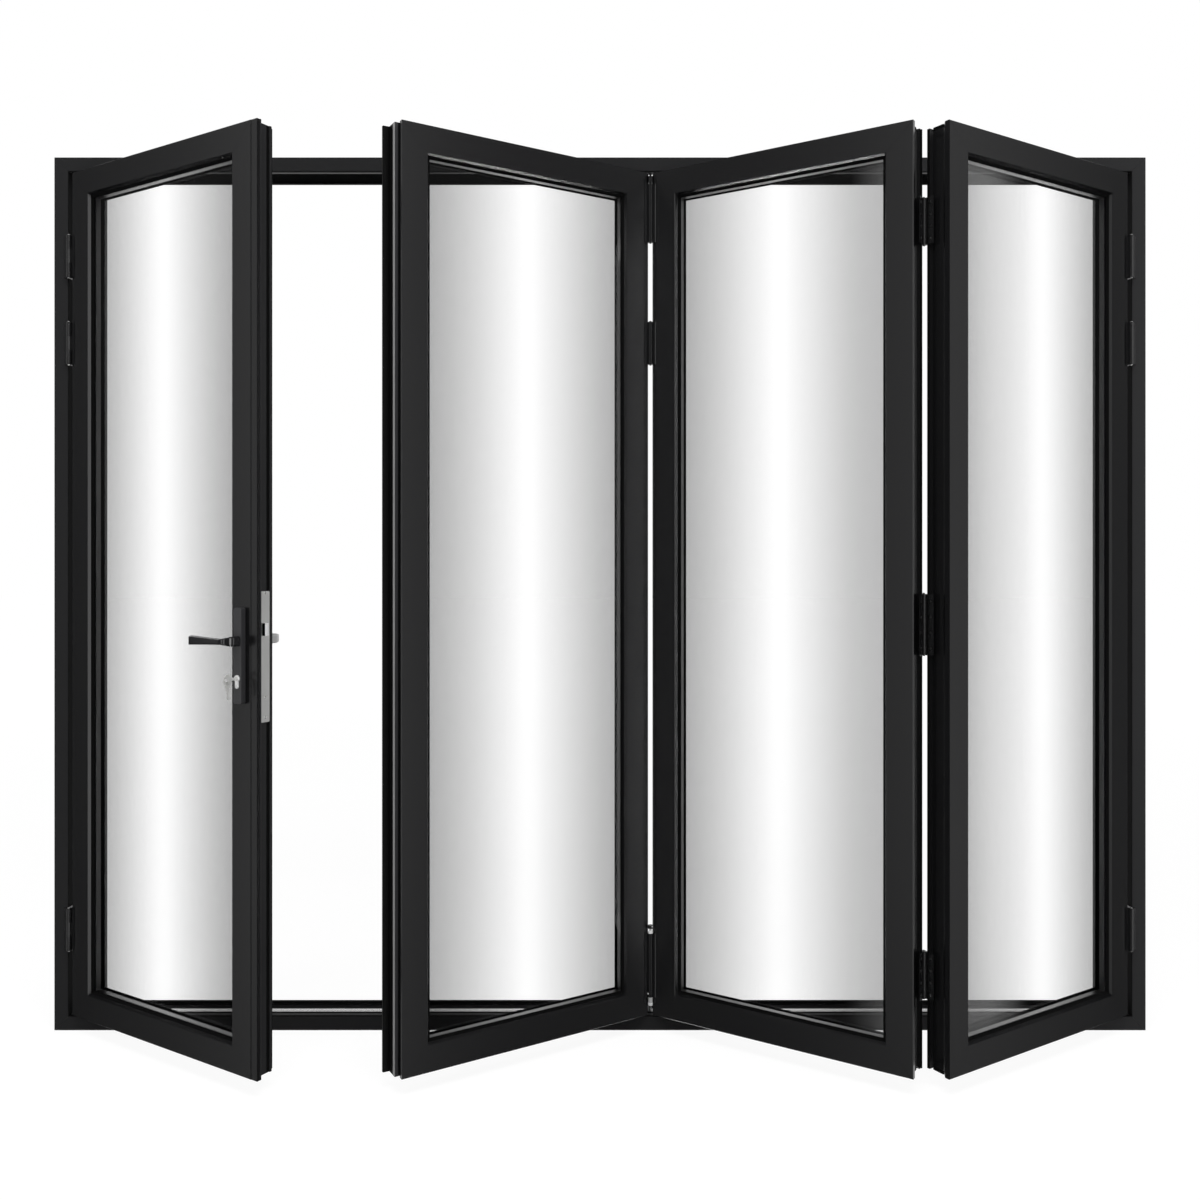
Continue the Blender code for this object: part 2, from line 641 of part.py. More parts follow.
def build_fold_hinges(metal, right, outer, inner):
    """Hinges on the right jamb, on the outer side of fold 2-3 and on the inner side of fold 3-4."""
    plus, minus = FOLD_ANGLE, -FOLD_ANGLE
    jamb = whole_hinge(HINGE_HEIGHT, [(HINGE_JAMB, 0, 1, 1), (HINGE_EDGE, plus, -1, 1)])
    for number, z in enumerate(JAMB_HINGE_HEIGHTS, 1):
        node(f"right_jamb_hinge_{number}", jamb.copy(), metal, right, (0, 0, z), smooth=True)

    outer_halves = [(HINGE_EDGE, plus, -1, 1), (HINGE_EDGE, minus, 1, 1)]
    middle = whole_hinge(HINGE_HEIGHT, outer_halves)
    node("fold_2_3_hinge_middle", middle, metal, outer, (0, 0, UPPER_HINGE_HEIGHT), smooth=True)
    carrier_z = CLEAR_TOP - CARRIER_HINGE_DROP
    top = whole_hinge(CARRIER_HINGE_HEIGHT, outer_halves)
    node("fold_2_3_hinge_top", top, metal, outer, (0, 0, carrier_z), smooth=True)
    guide_z = FRAME_FACE + GUIDE_HINGE_RISE
    bottom = whole_hinge(GUIDE_HINGE_HEIGHT, outer_halves)
    node("fold_2_3_hinge_bottom", bottom, metal, outer, (0, 0, guide_z), smooth=True)

    inner_halves = [(HINGE_EDGE, plus, 1, -1), (HINGE_EDGE, minus, -1, -1)]
    heights = (HINGE_HEIGHT, GRIP_HINGE_HEIGHT, HINGE_HEIGHT)
    for number, (z, height) in enumerate(zip(INNER_HINGE_HEIGHTS, heights), 1):
        mesh = whole_hinge(height, inner_halves)
        node(f"fold_3_4_hinge_{number}", mesh, metal, inner, (0, 0, z), smooth=True)

    reach = HINGE_STANDOFF + TRACK_SETBACK
    low = carrier_z + CARRIER_HINGE_HEIGHT / 2 + PIN_END + GAP
    lips = CLEAR_TOP + TRACK_RECESS + TRACK_WALL + GAP
    trolley = rounded_box(
        "trolley",
        (-TROLLEY_LENGTH / 2, reach - TRACK_WIDTH / 2 + TRACK_WALL + GAP, lips),
        (TROLLEY_LENGTH / 2, reach + TRACK_WIDTH / 2 - TRACK_WALL - GAP, lips + TROLLEY_HEIGHT),
        TROLLEY_CORNER,
    )
    arm = arm_mesh(low, low + ARM_THICKNESS, reach, (SPINDLE_RADIUS, low, lips + TROLLEY_HEIGHT / 2))
    node("top_carrier", combined(arm, [trolley]), metal, outer, smooth=True)
    high = guide_z - GUIDE_HINGE_HEIGHT / 2 - PIN_END - GAP
    foot = FRAME_FACE - RAIL_HEIGHT + RAIL_FLOOR + GAP
    guide_reach = HINGE_STANDOFF + RAIL_SETBACK
    guide = arm_mesh(high - ARM_THICKNESS, high, guide_reach, (GUIDE_PIN_RADIUS, foot, high))
    node("bottom_guide", guide, metal, outer, smooth=True)


def cylinder_outline(grow=0.0):
    """Euro profile across and up, with its round top centred on the key."""
    radius, half = CYLINDER_RADIUS + grow, CYLINDER_BODY_HALF + grow
    foot = -CYLINDER_TAIL - grow + half
    turn = math.acos(half / radius)
    top = circle(radius, (0, 0), 16, -turn, math.pi + turn)
    return top + circle(half, (0, foot), 8, math.pi, math.tau)


def through(mesh_name, outline, near, far, centre):
    """Outline across and up, swept from depth near to depth far about centre."""
    x, z = centre
    return prism(mesh_name, outline, lambda a, b, c: Vector((x + a, c, z + b)), near, far)


def handle_centre():
    return LEAF_WIDTH - BACKSET, HANDLE_HEIGHT - LEAF_BOTTOM


def lock_cuts():
    """What the lock takes out of the free stile of leaf 1."""
    x, z = handle_centre()
    hole = through("hole", circle(SPINDLE_HOLE_RADIUS), -GAP, SASH_DEPTH + GAP, (x, z))
    euro = cylinder_outline(LOCK_FIT)
    slot = through("slot", euro, -GAP, SASH_DEPTH + GAP, (x, z - CYLINDER_DROP))
    return [hole, slot, latch_space()]


def latch_space():
    """Room for the latch bolt, from beyond the meeting profile back to its drawn position."""
    z = handle_centre()[1] + LATCH_RISE
    width, height, length = (size / 2 + LOCK_FIT for size in LATCH)
    back = latch_back() - LATCH_THROW - LOCK_FIT
    front = LEAF_WIDTH + MEETING_FLANGE
    middle = FACEPLATE_SETBACK
    outline = [(back, middle - width), (front, middle - width), (front, middle + width), (back, middle + width)]
    return prism("latch_space", outline, upright, z - height, z + height)


def latch_back():
    """The hidden end of the latch bolt at rest."""
    return faceplate_seat() + FACEPLATE[2] + LATCH_THROW - LATCH[2]


def faceplate_seat():
    return LEAF_WIDTH + MEETING_BODY + GAP


def build_meeting_profiles(paint, access, access_corner, lead, lead_corner):
    def on_access(out, depth, along):
        return Vector((LEAF_WIDTH + out, depth, along))

    def on_lead(out, depth, along):
        return Vector((-out, depth, along))

    mesh = prism("access", access_meeting_outline(), on_access, 0, LEAF_HEIGHT)
    node("leaf_1_meeting_profile", combined(mesh, cut=[latch_space()]), paint, access, access_corner)
    mesh = prism("lead", lead_meeting_outline(), on_lead, 0, LEAF_HEIGHT)
    node("leaf_2_meeting_profile", mesh, paint, lead, lead_corner)


def superellipse(width, height, sides=16, power=SOFT_CORNER):
    """Points round a soft-cornered rectangle."""
    points = []
    for i in range(sides):
        angle = math.tau * i / sides
        across, up = math.cos(angle), math.sin(angle)
        across = math.copysign(abs(across) ** power, across)
        up = math.copysign(abs(up) ** power, up)
        points.append((across * width / 2, up * height / 2))
    return points


def lever_mesh(name, face, outward):
    """A lever whose neck leaves the face at depth face and whose blade then runs towards the leaf's hinges."""
    bend = LEVER_BEND
    start = face + outward * (HANDLE_PLATE[2] - NECK_SOCKET)
    blade = face + outward * LEVER_PROJECTION
    rings = []
    for depth in (start, blade - outward * bend):
        rings.append([Vector((a, depth, b)) for a, b in circle(NECK_RADIUS, sides=16)])
    for step in range(1, 6):
        angle = step / 5 * math.pi / 2
        centre = Vector((-bend * (1 - math.cos(angle)), blade - outward * bend * (1 - math.sin(angle)), 0))
        blend = step / 5
        depth_size = 2 * NECK_RADIUS * (1 - blend) + LEVER_WAIST[0] * blend
        height = 2 * NECK_RADIUS * (1 - blend) + LEVER_WAIST[1] * blend
        across = Vector((math.cos(angle), outward * math.sin(angle), 0))
        power = 1 + (SOFT_CORNER - 1) * blend
        ring = superellipse(depth_size, height, power=power)
        rings.append([centre + across * a + Vector((0, 0, b)) for a, b in ring])
    steps = 5
    for step in range(1, steps + 1):
        part = step / steps
        depth_size = LEVER_WAIST[0] + (LEVER_TIP[0] - LEVER_WAIST[0]) * part
        height = LEVER_WAIST[1] + (LEVER_TIP[1] - LEVER_WAIST[1]) * part
        x = -bend - (LEVER_REACH - bend - LEVER_END_ROUND) * part
        rings.append([Vector((x, blade + outward * a, b)) for a, b in superellipse(depth_size, height)])
    tip = superellipse(LEVER_TIP[0] - LEVER_END_ROUND, LEVER_TIP[1] - LEVER_END_ROUND)
    rings.append([Vector((-LEVER_REACH, blade + outward * a, b)) for a, b in tip])
    return loft(name, rings)


def build_lock(paint, steel, brass_key, leaf, corner):
    x, z = handle_centre()
    plate_width, plate_height, plate_depth = HANDLE_PLATE
    middle = z - HANDLE_PLATE_DROP
    for name, near, far, face in (
        ("handle_plate_outside", -GAP - plate_depth, -GAP, -1),
        ("handle_plate_inside", SASH_DEPTH + GAP, SASH_DEPTH + GAP + plate_depth, 1),
    ):
        half = plate_width / 2
        low, high = (x - half, near, middle - plate_height / 2), (x + half, far, middle + plate_height / 2)
        plate = rounded_box(name, low, high, HANDLE_PLATE_CORNER, axis=1)
        neck = through("neck", circle(NECK_RADIUS + GAP), near - GAP, far + GAP, (x, z))
        euro = through(
            "euro", cylinder_outline(LOCK_FIT), near - GAP, far + GAP, (x, z - CYLINDER_DROP)
        )
        made = node(name, combined(plate, cut=[neck, euro]), paint, leaf, corner, smooth=True)
        soften = made.modifiers.new("soft_edges", "BEVEL")
        soften.width = SASH_CORNER
        soften.segments = 2
        soften.limit_method = "ANGLE"
        soften.angle_limit = math.radians(50)

    pivot = empty(
        "lever_pivot", (corner[0] + x, corner[1], corner[2] + z), parent=leaf
    )
    reach = plate_depth
    half = SPINDLE_SIDE / 2
    square = [(half, half), (-half, half), (-half, -half), (half, -half)]
    spindle = through("spindle", square, -reach, SASH_DEPTH + reach, (0, 0))
    levers = [lever_mesh("outside", 0, -1), lever_mesh("inside", SASH_DEPTH, 1)]
    node("lever_handles", combined(spindle, levers), paint, pivot, smooth=True)

    proud = GAP + plate_depth + CYLINDER_PROUD
    euro = through("cylinder", cylinder_outline(), -proud, SASH_DEPTH + proud, (x, z - CYLINDER_DROP))
    node("lock_cylinder", euro, steel, leaf, corner, smooth=True)

    width, height, thickness = FACEPLATE
    seat = faceplate_seat()
    middle = z - FACEPLATE_DROP
    plate = rounded_box(
        "faceplate",
        (seat, FACEPLATE_SETBACK - width / 2, middle - height / 2),
        (seat + thickness, FACEPLATE_SETBACK + width / 2, middle + height / 2),
        FACEPLATE_CORNER,
        axis=0,
    )
    node("lock_faceplate", combined(plate, cut=[latch_space()]), steel, leaf, corner)

    half_width = LATCH[0] / 2
    back = latch_back()
    front = back + LATCH[2]
    low, high = FACEPLATE_SETBACK - half_width, FACEPLATE_SETBACK + half_width
    outline = [(back, low), (front, low), (front, low + LATCH_TIP), (front - LATCH_BEVEL, high), (back, high)]
    rise = z + LATCH_RISE
    bolt = prism("latch", outline, upright, rise - LATCH[1] / 2, rise + LATCH[1] / 2)
    node("latch_bolt", bolt, steel, leaf, corner)

    key = key_mesh(-proud - GAP, (x, z - CYLINDER_DROP))
    node("keys", key, brass_key, leaf, corner, smooth=True)


def key_disc(centre_depth, centre_up, radius):
    half = KEY_THICKNESS / 2
    outline = circle(radius, (centre_depth, centre_up), 18)
    return prism("bow", outline, lambda a, b, c: Vector((c, a, b)), -half, half)


def key_mesh(start, centre):
    """The key in the lock and a second one on its ring, one solid because they touch."""
    x, z = centre
    width, length = KEY_SHANK
    half = KEY_THICKNESS / 2
    bow_depth = start - length - KEY_BOW_RADIUS + KEY_OVERLAP
    low = (-half, start - length - KEY_OVERLAP, -width / 2)
    shank = rounded_box("shank", low, (half, start, width / 2), KEY_ROUNDING, axis=1)
    ring_depth = bow_depth - KEY_BOW_RADIUS * KEY_HOLE_SHARE
    ring_up = -KEY_RING_RADIUS
    rings = []
    for i in range(18):
        angle = math.tau * i / 18
        ring = []
        for across, out in circle(KEY_RING_WIRE, sides=6):
            radius = KEY_RING_RADIUS + out
            ring.append((across, ring_depth + radius * math.cos(angle), ring_up + radius * math.sin(angle)))
        rings.append(ring)
    points = [Vector(point) for ring in rings for point in ring]
    faces = []
    for i in range(18):
        a, b = i * 6, (i + 1) % 18 * 6
        for j in range(6):
            k = (j + 1) % 6
            faces.append((a + j, a + k, b + k, b + j))
    torus = closed_mesh("ring", points, faces)
    spare_radius = KEY_BOW_RADIUS * SPARE_KEY_SHARE
    spare_up = ring_up - KEY_RING_RADIUS - KEY_BOW_RADIUS * KEY_HOLE_SHARE
    spare = key_disc(ring_depth, spare_up, spare_radius)
    blade_width, blade_length = SPARE_KEY_BLADE
    blade_top = spare_up - spare_radius + 2 * KEY_OVERLAP
    low = (-half, ring_depth - blade_width / 2, blade_top - blade_length)
    high = (half, ring_depth + blade_width / 2, blade_top)
    blade = rounded_box("blade", low, high, KEY_ROUNDING)
    bow = key_disc(bow_depth, 0, KEY_BOW_RADIUS)
    mesh = combined(shank, [bow, torus, spare, blade])
    mesh.transform(Matrix.Translation((x, 0, z)))
    return mesh


def main():
    clear_scene()
    paint = material("black_powder_coat", (0.021, 0.021, 0.022), 0.45)
    rail_metal = material("mill_aluminium", (0.74, 0.74, 0.75), 0.30, metallic=1.0)
    steel = material("stainless_steel", (0.62, 0.62, 0.61), 0.30, metallic=1.0)
    key_metal = material("nickel_plated_brass", (0.70, 0.69, 0.66), 0.28, metallic=1.0)
    glass = material("clear_glass", (0.94, 0.96, 0.95), 0.02, transmission=1.0)

    build_frame(paint, rail_metal)

    left = Vector((-PIVOT_X, PIVOT_Y, 0))
    right = Vector((PIVOT_X, PIVOT_Y, 0))
    across = SASH_DEPTH + 2 * HINGE_STANDOFF
    inner = right + Matrix.Rotation(FOLD_ANGLE, 3, "Z") @ Vector((-LEAF_PITCH, across, 0))
    outer = inner + Matrix.Rotation(-FOLD_ANGLE, 3, "Z") @ Vector((-LEAF_PITCH, -across, 0))

    left_axis = empty("left_hinge_axis", left)
    right_axis = empty("right_hinge_axis", right)
    inner_axis = empty("fold_3_4_axis", inner)
    outer_axis = empty("fold_2_3_axis", outer)
    leaf_1 = empty("leaf_1_axis", left, -FOLD_ANGLE)
    leaf_2 = empty("leaf_2_axis", outer, FOLD_ANGLE)
    leaf_3 = empty("leaf_3_axis", inner, -FOLD_ANGLE)
    leaf_4 = empty("leaf_4_axis", right, FOLD_ANGLE)

    first_corner = Vector((HINGE_EDGE, HINGE_STANDOFF, LEAF_BOTTOM))
    hung_corner = Vector((-HINGE_EDGE - LEAF_WIDTH, HINGE_STANDOFF, LEAF_BOTTOM))
    third_corner = Vector((-HINGE_EDGE - LEAF_WIDTH, -HINGE_STANDOFF - SASH_DEPTH, LEAF_BOTTOM))
    for name, holder, corner, cuts in (
        ("leaf_1", leaf_1, first_corner, {"right_stile": lock_cuts}),
        ("leaf_2", leaf_2, hung_corner, {}),
        ("leaf_3", leaf_3, third_corner, {}),
        ("leaf_4", leaf_4, hung_corner, {}),
    ):
        build_leaf(name, holder, corner, paint, glass, cuts)
    build_meeting_profiles(paint, leaf_1, first_corner, leaf_2, hung_corner)
    build_left_hinges(paint, left_axis, leaf_1)
    build_fold_hinges(paint, right_axis, outer_axis, inner_axis)
    build_lock(paint, steel, key_metal, leaf_1, first_corner)


main()
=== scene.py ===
import json
import math

import bmesh
import bpy
import numpy as np
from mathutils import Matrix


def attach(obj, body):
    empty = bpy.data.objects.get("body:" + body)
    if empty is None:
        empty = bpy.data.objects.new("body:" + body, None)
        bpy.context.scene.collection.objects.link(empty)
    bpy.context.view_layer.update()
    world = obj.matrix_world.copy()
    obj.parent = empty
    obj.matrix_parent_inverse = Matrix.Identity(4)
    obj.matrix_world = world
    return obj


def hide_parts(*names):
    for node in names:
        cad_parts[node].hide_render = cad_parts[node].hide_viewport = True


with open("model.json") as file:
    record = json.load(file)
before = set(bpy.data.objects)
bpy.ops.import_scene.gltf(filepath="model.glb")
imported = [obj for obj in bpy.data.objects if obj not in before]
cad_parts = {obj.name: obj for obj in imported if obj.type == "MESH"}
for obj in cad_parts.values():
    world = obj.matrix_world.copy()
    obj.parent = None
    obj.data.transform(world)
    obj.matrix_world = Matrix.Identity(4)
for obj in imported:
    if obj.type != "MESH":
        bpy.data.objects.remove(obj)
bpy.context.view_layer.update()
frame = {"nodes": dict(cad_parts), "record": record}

# Black aluminium bifold patio door. Metres, +Z up, the outside faces -Y.
# Each leaf has its own axes: across from its left edge as seen from outside, depth behind its outer face, up.

door = {
    "turn": math.radians(31.8),
    "leafWidth": 0.727,
    "leafHeight": 2.350,
    "leafBottom": 0.044,
    "leafDepth": 0.070,
    "hingeEdge": 0.0035,
    "standoff": 0.0084,
    "pivotX": 1.4795,
    "pivotY": -0.0634,
    "clearHalf": 1.485,
    "clearBottom": 0.039,
    "clearTop": 2.399,
    "front": -0.055,
}


# small tools

def linear(code):
    # an sRGB hex code as linear red, green and blue
    parts = np.array([int(code[i:i + 2], 16) for i in (0, 2, 4)]) / 255
    curved = np.where(parts <= 0.04045, parts / 12.92, ((parts + 0.055) / 1.055) ** 2.4)
    return (*curved.tolist(), 1.0)


def addNode(tree, kind, settings=(), values=(), links=()):
    made = tree.nodes.new(kind)
    for key, value in dict(settings).items():
        setattr(made, key, value)
    for key, value in dict(values).items():
        made.inputs[key].default_value = value
    for key, socket in dict(links).items():
        tree.links.new(socket, made.inputs[key])
    return made


def newMaterial(name):
    made = bpy.data.materials.new(name)
    made.use_nodes = True
    tree = made.node_tree
    return made, tree, tree.nodes["Principled BSDF"]


def rotation(angle):
    c, s = math.cos(angle), math.sin(angle)
    return np.array([[c, -s, 0], [s, c, 0], [0, 0, 1]])


def fromLeaf(leaf, points):
    # leaf point (across, depth, up) to the door: turned about its hinge line, then moved there
    pivot, angle, corner = leafPlaces[leaf]
    return (np.asarray(points) + corner) @ rotation(angle).T + pivot


def gridFaces(rows, columns, wrapRows=False, wrapColumns=True):
    # quads between neighbours of a grid whose point (row, column) has number row * columns + column
    r = np.arange(rows if wrapRows else rows - 1)
    c = np.arange(columns if wrapColumns else columns - 1)
    r, c = np.meshgrid(r, c, indexing="ij")
    nextRow, nextColumn = (r + 1) % rows, (c + 1) % columns
    low, high = r * columns, nextRow * columns
    return np.stack([low + c, low + nextColumn, high + nextColumn, high + c], -1).reshape(-1, 4).tolist()


def tube(rings, wrap=False):
    # skin over rings of points: rings is (rings, points, 3), capped at both ends unless it closes on itself
    rings = np.asarray(rings, float)
    rows, columns = rings.shape[:2]
    faces = gridFaces(rows, columns, wrapRows=wrap)
    if not wrap:
        faces += [list(range(columns)), list(range((rows - 1) * columns, rows * columns))]
    return rings.reshape(-1, 3), faces


def boxShell(low, high):
    x0, y0, z0 = low
    x1, y1, z1 = high
    ring = np.array([[x0, y0], [x1, y0], [x1, y1], [x0, y1]])
    return tube([np.c_[ring, np.full(4, z)] for z in (z0, z1)])


def turnedShell(centre, axis, profile, sides=32):
    # profile (along, radius) carried round an axis
    # point = centre + axis * along + radius * (u cos a + v sin a)
    axis = np.asarray(axis, float) / np.linalg.norm(axis)
    helper = np.array([0, 0, 1.0]) if abs(axis[2]) < 0.9 else np.array([1.0, 0, 0])
    u = np.cross(axis, helper)
    u /= np.linalg.norm(u)
    v = np.cross(axis, u)
    angle = np.linspace(0, 2 * np.pi, sides, endpoint=False)
    around = np.outer(np.cos(angle), u) + np.outer(np.sin(angle), v)
    profile = np.asarray(profile, float)
    rings = np.asarray(centre) + profile[:, None, :1] * axis + profile[:, None, 1:] * around[None]
    return tube(rings)


def ringShell(leaf, profile):
    # section (inset, depth) carried round a leaf's four mitred corners
    inset, depth = np.asarray(profile, float).T
    right, top = door["leafWidth"] - inset, door["leafHeight"] - inset
    corners = np.stack([
        np.stack([inset, depth, inset], -1),
        np.stack([right, depth, inset], -1),
        np.stack([right, depth, top], -1),
        np.stack([inset, depth, top], -1),
    ])
    return tube(fromLeaf(leaf, corners), wrap=True)


def piece(name, shells, material, body, replaced=(), smooth=40):
    # one object from closed shells, with its faces turned outwards
    points, faces, start = [], [], 0
    for shellPoints, shellFaces in shells:
        points.append(np.asarray(shellPoints))
        faces += [[i + start for i in face] for face in shellFaces]
        start += len(shellPoints)
    mesh = bpy.data.meshes.new(name)
    mesh.from_pydata(np.concatenate(points).tolist(), [], faces)
    shape = bmesh.new()
    shape.from_mesh(mesh)
    bmesh.ops.recalc_face_normals(shape, faces=shape.faces)
    shape.to_mesh(mesh)
    shape.free()
    mesh.materials.append(material)
    if smooth:
        mesh.shade_smooth()
        mesh.set_sharp_from_angle(angle=math.radians(smooth))
    made = bpy.data.objects.new(name, mesh)
    bpy.context.scene.collection.objects.link(made)
    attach(made, body)
    if replaced:
        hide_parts(*replaced)
    return made


leafStep = door["leafWidth"] + 2 * door["hingeEdge"]
acrossFold = door["leafDepth"] + 2 * door["standoff"]
leftPivot = np.array([-door["pivotX"], door["pivotY"], 0])
rightPivot = np.array([door["pivotX"], door["pivotY"], 0])
innerPivot = rightPivot + rotation(door["turn"]) @ [-leafStep, acrossFold, 0]
outerPivot = innerPivot + rotation(-door["turn"]) @ [-leafStep, -acrossFold, 0]
hungCorner = np.array([-door["hingeEdge"] - door["leafWidth"], door["standoff"], door["leafBottom"]])
leafPlaces = {
    "leaf_1": (leftPivot, -door["turn"], np.array([door["hingeEdge"], door["standoff"], door["leafBottom"]])),
    "leaf_2": (outerPivot, door["turn"], hungCorner),
    "leaf_3": (innerPivot, -door["turn"], hungCorner * [1, -1, 1] - [0, door["leafDepth"], 0]),
    "leaf_4": (rightPivot, door["turn"], hungCorner),
}
leafBodies = {"leaf_1": "access_leaf", "leaf_2": "frame", "leaf_3": "frame", "leaf_4": "frame"}

# materials


def powderCoat(name, colour, roughness, level):
    # polyester powder coat on extruded aluminium: near black, satin, with a faint pebble of cured powder
    made, tree, shader = newMaterial(name)
    shader.inputs["Base Color"].default_value = linear(colour)
    shader.inputs["Roughness"].default_value = roughness
    shader.inputs["Specular IOR Level"].default_value = level
    place = addNode(tree, "ShaderNodeTexCoord")
    # pebbles of 1.2 mm, coarser than the real 0.3 mm so that they show
    grain = addNode(tree, "ShaderNodeTexNoise", values={"Scale": 1 / 0.0012, "Detail": 1.0},
                    links={"Vector": place.outputs["Object"]})
    bump = addNode(tree, "ShaderNodeBump", values={"Strength": 0.05, "Distance": 0.0002},
                   links={"Height": grain.outputs["Fac"]})
    tree.links.new(bump.outputs["Normal"], shader.inputs["Normal"])
    return made


def plainMaterial(name, colour, roughness, metallic=0.0, level=0.5):
    made, _, shader = newMaterial(name)
    shader.inputs["Base Color"].default_value = linear(colour)
    shader.inputs["Roughness"].default_value = roughness
    shader.inputs["Metallic"].default_value = metallic
    if not metallic:
        shader.inputs["Specular IOR Level"].default_value = level
    return made


def brushedSteel():
    # stainless strip brushed along its length: hairlines 0.5 mm apart that run upwards
    made, tree, shader = newMaterial("brushedStainless")
    shader.inputs["Base Color"].default_value = linear("e2e2e0")
    shader.inputs["Metallic"].default_value = 1.0
    place = addNode(tree, "ShaderNodeTexCoord")
    stretch = addNode(tree, "ShaderNodeMapping", values={"Scale": (2000, 2000, 40)},
                      links={"Vector": place.outputs["Object"]})
    lines = addNode(tree, "ShaderNodeTexNoise", values={"Scale": 1.0, "Detail": 2.0},
                    links={"Vector": stretch.outputs["Vector"]})
    spread = addNode(tree, "ShaderNodeMapRange", values={"To Min": 0.42, "To Max": 0.56},
                     links={"Value": lines.outputs["Fac"]})
    tree.links.new(spread.outputs["Result"], shader.inputs["Roughness"])
    return made


def paneGlass(name, shine, sides):
    # coated float glass with a faint mirror: clear in the middle of a pane and greyer towards its sides, a
    # painted reflection
    made, tree, shader = newMaterial(name)
    tree.nodes.remove(shader)
    across = addNode(tree, "ShaderNodeUVMap", settings={"uv_map": "across"})
    split = addNode(tree, "ShaderNodeSeparateXYZ", links={"Vector": across.outputs["UV"]})
    centred = addNode(tree, "ShaderNodeMath", settings={"operation": "SUBTRACT"}, values={1: 0.5},
                      links={0: split.outputs["X"]})
    away = addNode(tree, "ShaderNodeMath", settings={"operation": "ABSOLUTE"}, links={0: centred.outputs[0]})
    # the ramp paints the reflection: white in the middle of a pane, grey at its sides
    ramp = addNode(tree, "ShaderNodeValToRGB", links={"Fac": away.outputs[0]})
    stops = ramp.color_ramp.elements
    stops[0].position = 0.0
    stops[1].position = 0.6
    for place, share in ((0.03, 0.99), (0.16, 0.80)):
        stop = stops.new(place)
        stop.color = (*[share ** 0.25] * 3, 1)
    stops[0].color = (1, 1, 1, 1)
    stops[-1].color = (*[sides ** 0.25] * 3, 1)  # light meets four faces on its way through the two panes
    clear = addNode(tree, "ShaderNodeBsdfTransparent", links={"Color": ramp.outputs["Color"]})
    # only a pane's outward faces mirror: straight rays would be mirrored whole inside it
    edge = addNode(tree, "ShaderNodeFresnel", values={"IOR": shine})
    facing = addNode(tree, "ShaderNodeNewGeometry")
    outward = addNode(tree, "ShaderNodeMath", settings={"operation": "SUBTRACT"}, values={0: 1.0},
                      links={1: facing.outputs["Backfacing"]})
    share = addNode(tree, "ShaderNodeMath", settings={"operation": "MULTIPLY"},
                    links={0: edge.outputs[0], 1: outward.outputs[0]})
    mirror = addNode(tree, "ShaderNodeBsdfGlossy", values={"Roughness": 0.0},
                     links={"Color": share.outputs[0]})
    both = addNode(tree, "ShaderNodeAddShader", links={0: clear.outputs[0], 1: mirror.outputs[0]})
    tree.links.new(both.outputs[0], tree.nodes["Material Output"].inputs["Surface"])
    return made


coat = powderCoat("satinBlackPowderCoat", "161617", 0.25, 0.5)
# a lighter, matter copy of the powder coat: its extra lightness is painted light on the frame and on leaf 1's
# meeting stile
frameCoatPaintedLight = powderCoat("mattPowderCoatPaintedLight", "272728", 0.45, 0.24)
# a darker, duller copy of the powder coat on the glazing beads: painted shade of the glazing recess
beadCoatPaintedShade = powderCoat("beadPaintedShadeCoat", "0c0c0d", 0.50, 0.12)
hardwareBlack = plainMaterial("blackAnodisedHardware", "1c1c1d", 0.24, level=0.6)
plateBlack = plainMaterial("castHandleEnamel", "3c3c3e", 0.34, level=0.5)
leverBlack = plainMaterial("polishedHandleEnamel", "222224", 0.12, level=1.0)
satinSilver = plainMaterial("satinSilverAnodising", "c8c8c8", 0.35, metallic=0.4)
# lighter grey: painted light on the front of leaf 2's shelf
greyPaintedLight = plainMaterial("greyRubberPaintedLight", "39393b", 0.55, level=0.3)
# pale grey: a painted highlight along leaf 2's shelf
paintedHighlightGrey = plainMaterial("paleGreyPaintedHighlight", "a2a2a2", 0.50, level=0.3)
# near black and dull: painted shade in the head's track channel and on leaf 2's meeting profile
paintedShadeBlack = plainMaterial("trackPaintedShadeBlack", "0a0a0a", 0.60, level=0.15)
rubber = plainMaterial("epdmRubber", "0c0c0c", 0.80, level=0.1)
alloySpacer = plainMaterial("anodisedSpacer", "8c8c8c", 0.34, metallic=1.0)
millAluminium = plainMaterial("millAluminium", "f2f2f2", 0.25, metallic=0.8)
steel = brushedSteel()
polishedSteel = plainMaterial("polishedStainless", "dadad8", 0.16, metallic=1.0)
# chrome drawn as a white non-metal: its whiteness is a painted reflection of a bright studio
chromePaintedWhiteSheen = plainMaterial("chromePaintedWhiteSheen", "ffffff", 0.30, level=1.0)
# nickel drawn mostly as a white non-metal: its brightness is a painted reflection
nickelWithPaintedSheen = plainMaterial("nickelPaintedSheen", "e6e6e4", 0.28, metallic=0.2)
zincScrew = plainMaterial("blackZincScrew", "707070", 0.30, metallic=1.0)
blackHole = plainMaterial("keywayShadow", "050505", 0.9, level=0.1)
# the panes' grey sides are a painted reflection, not a tint of the glass
clearGlass = paneGlass("floatGlassPaintedReflection", 1.8, 0.307)
slotMaterials = {
    "black_powder_coat": coat,
    "mill_aluminium": millAluminium,
    "stainless_steel": steel,
    "nickel_plated_brass": nickelWithPaintedSheen,
    "clear_glass": clearGlass,
}
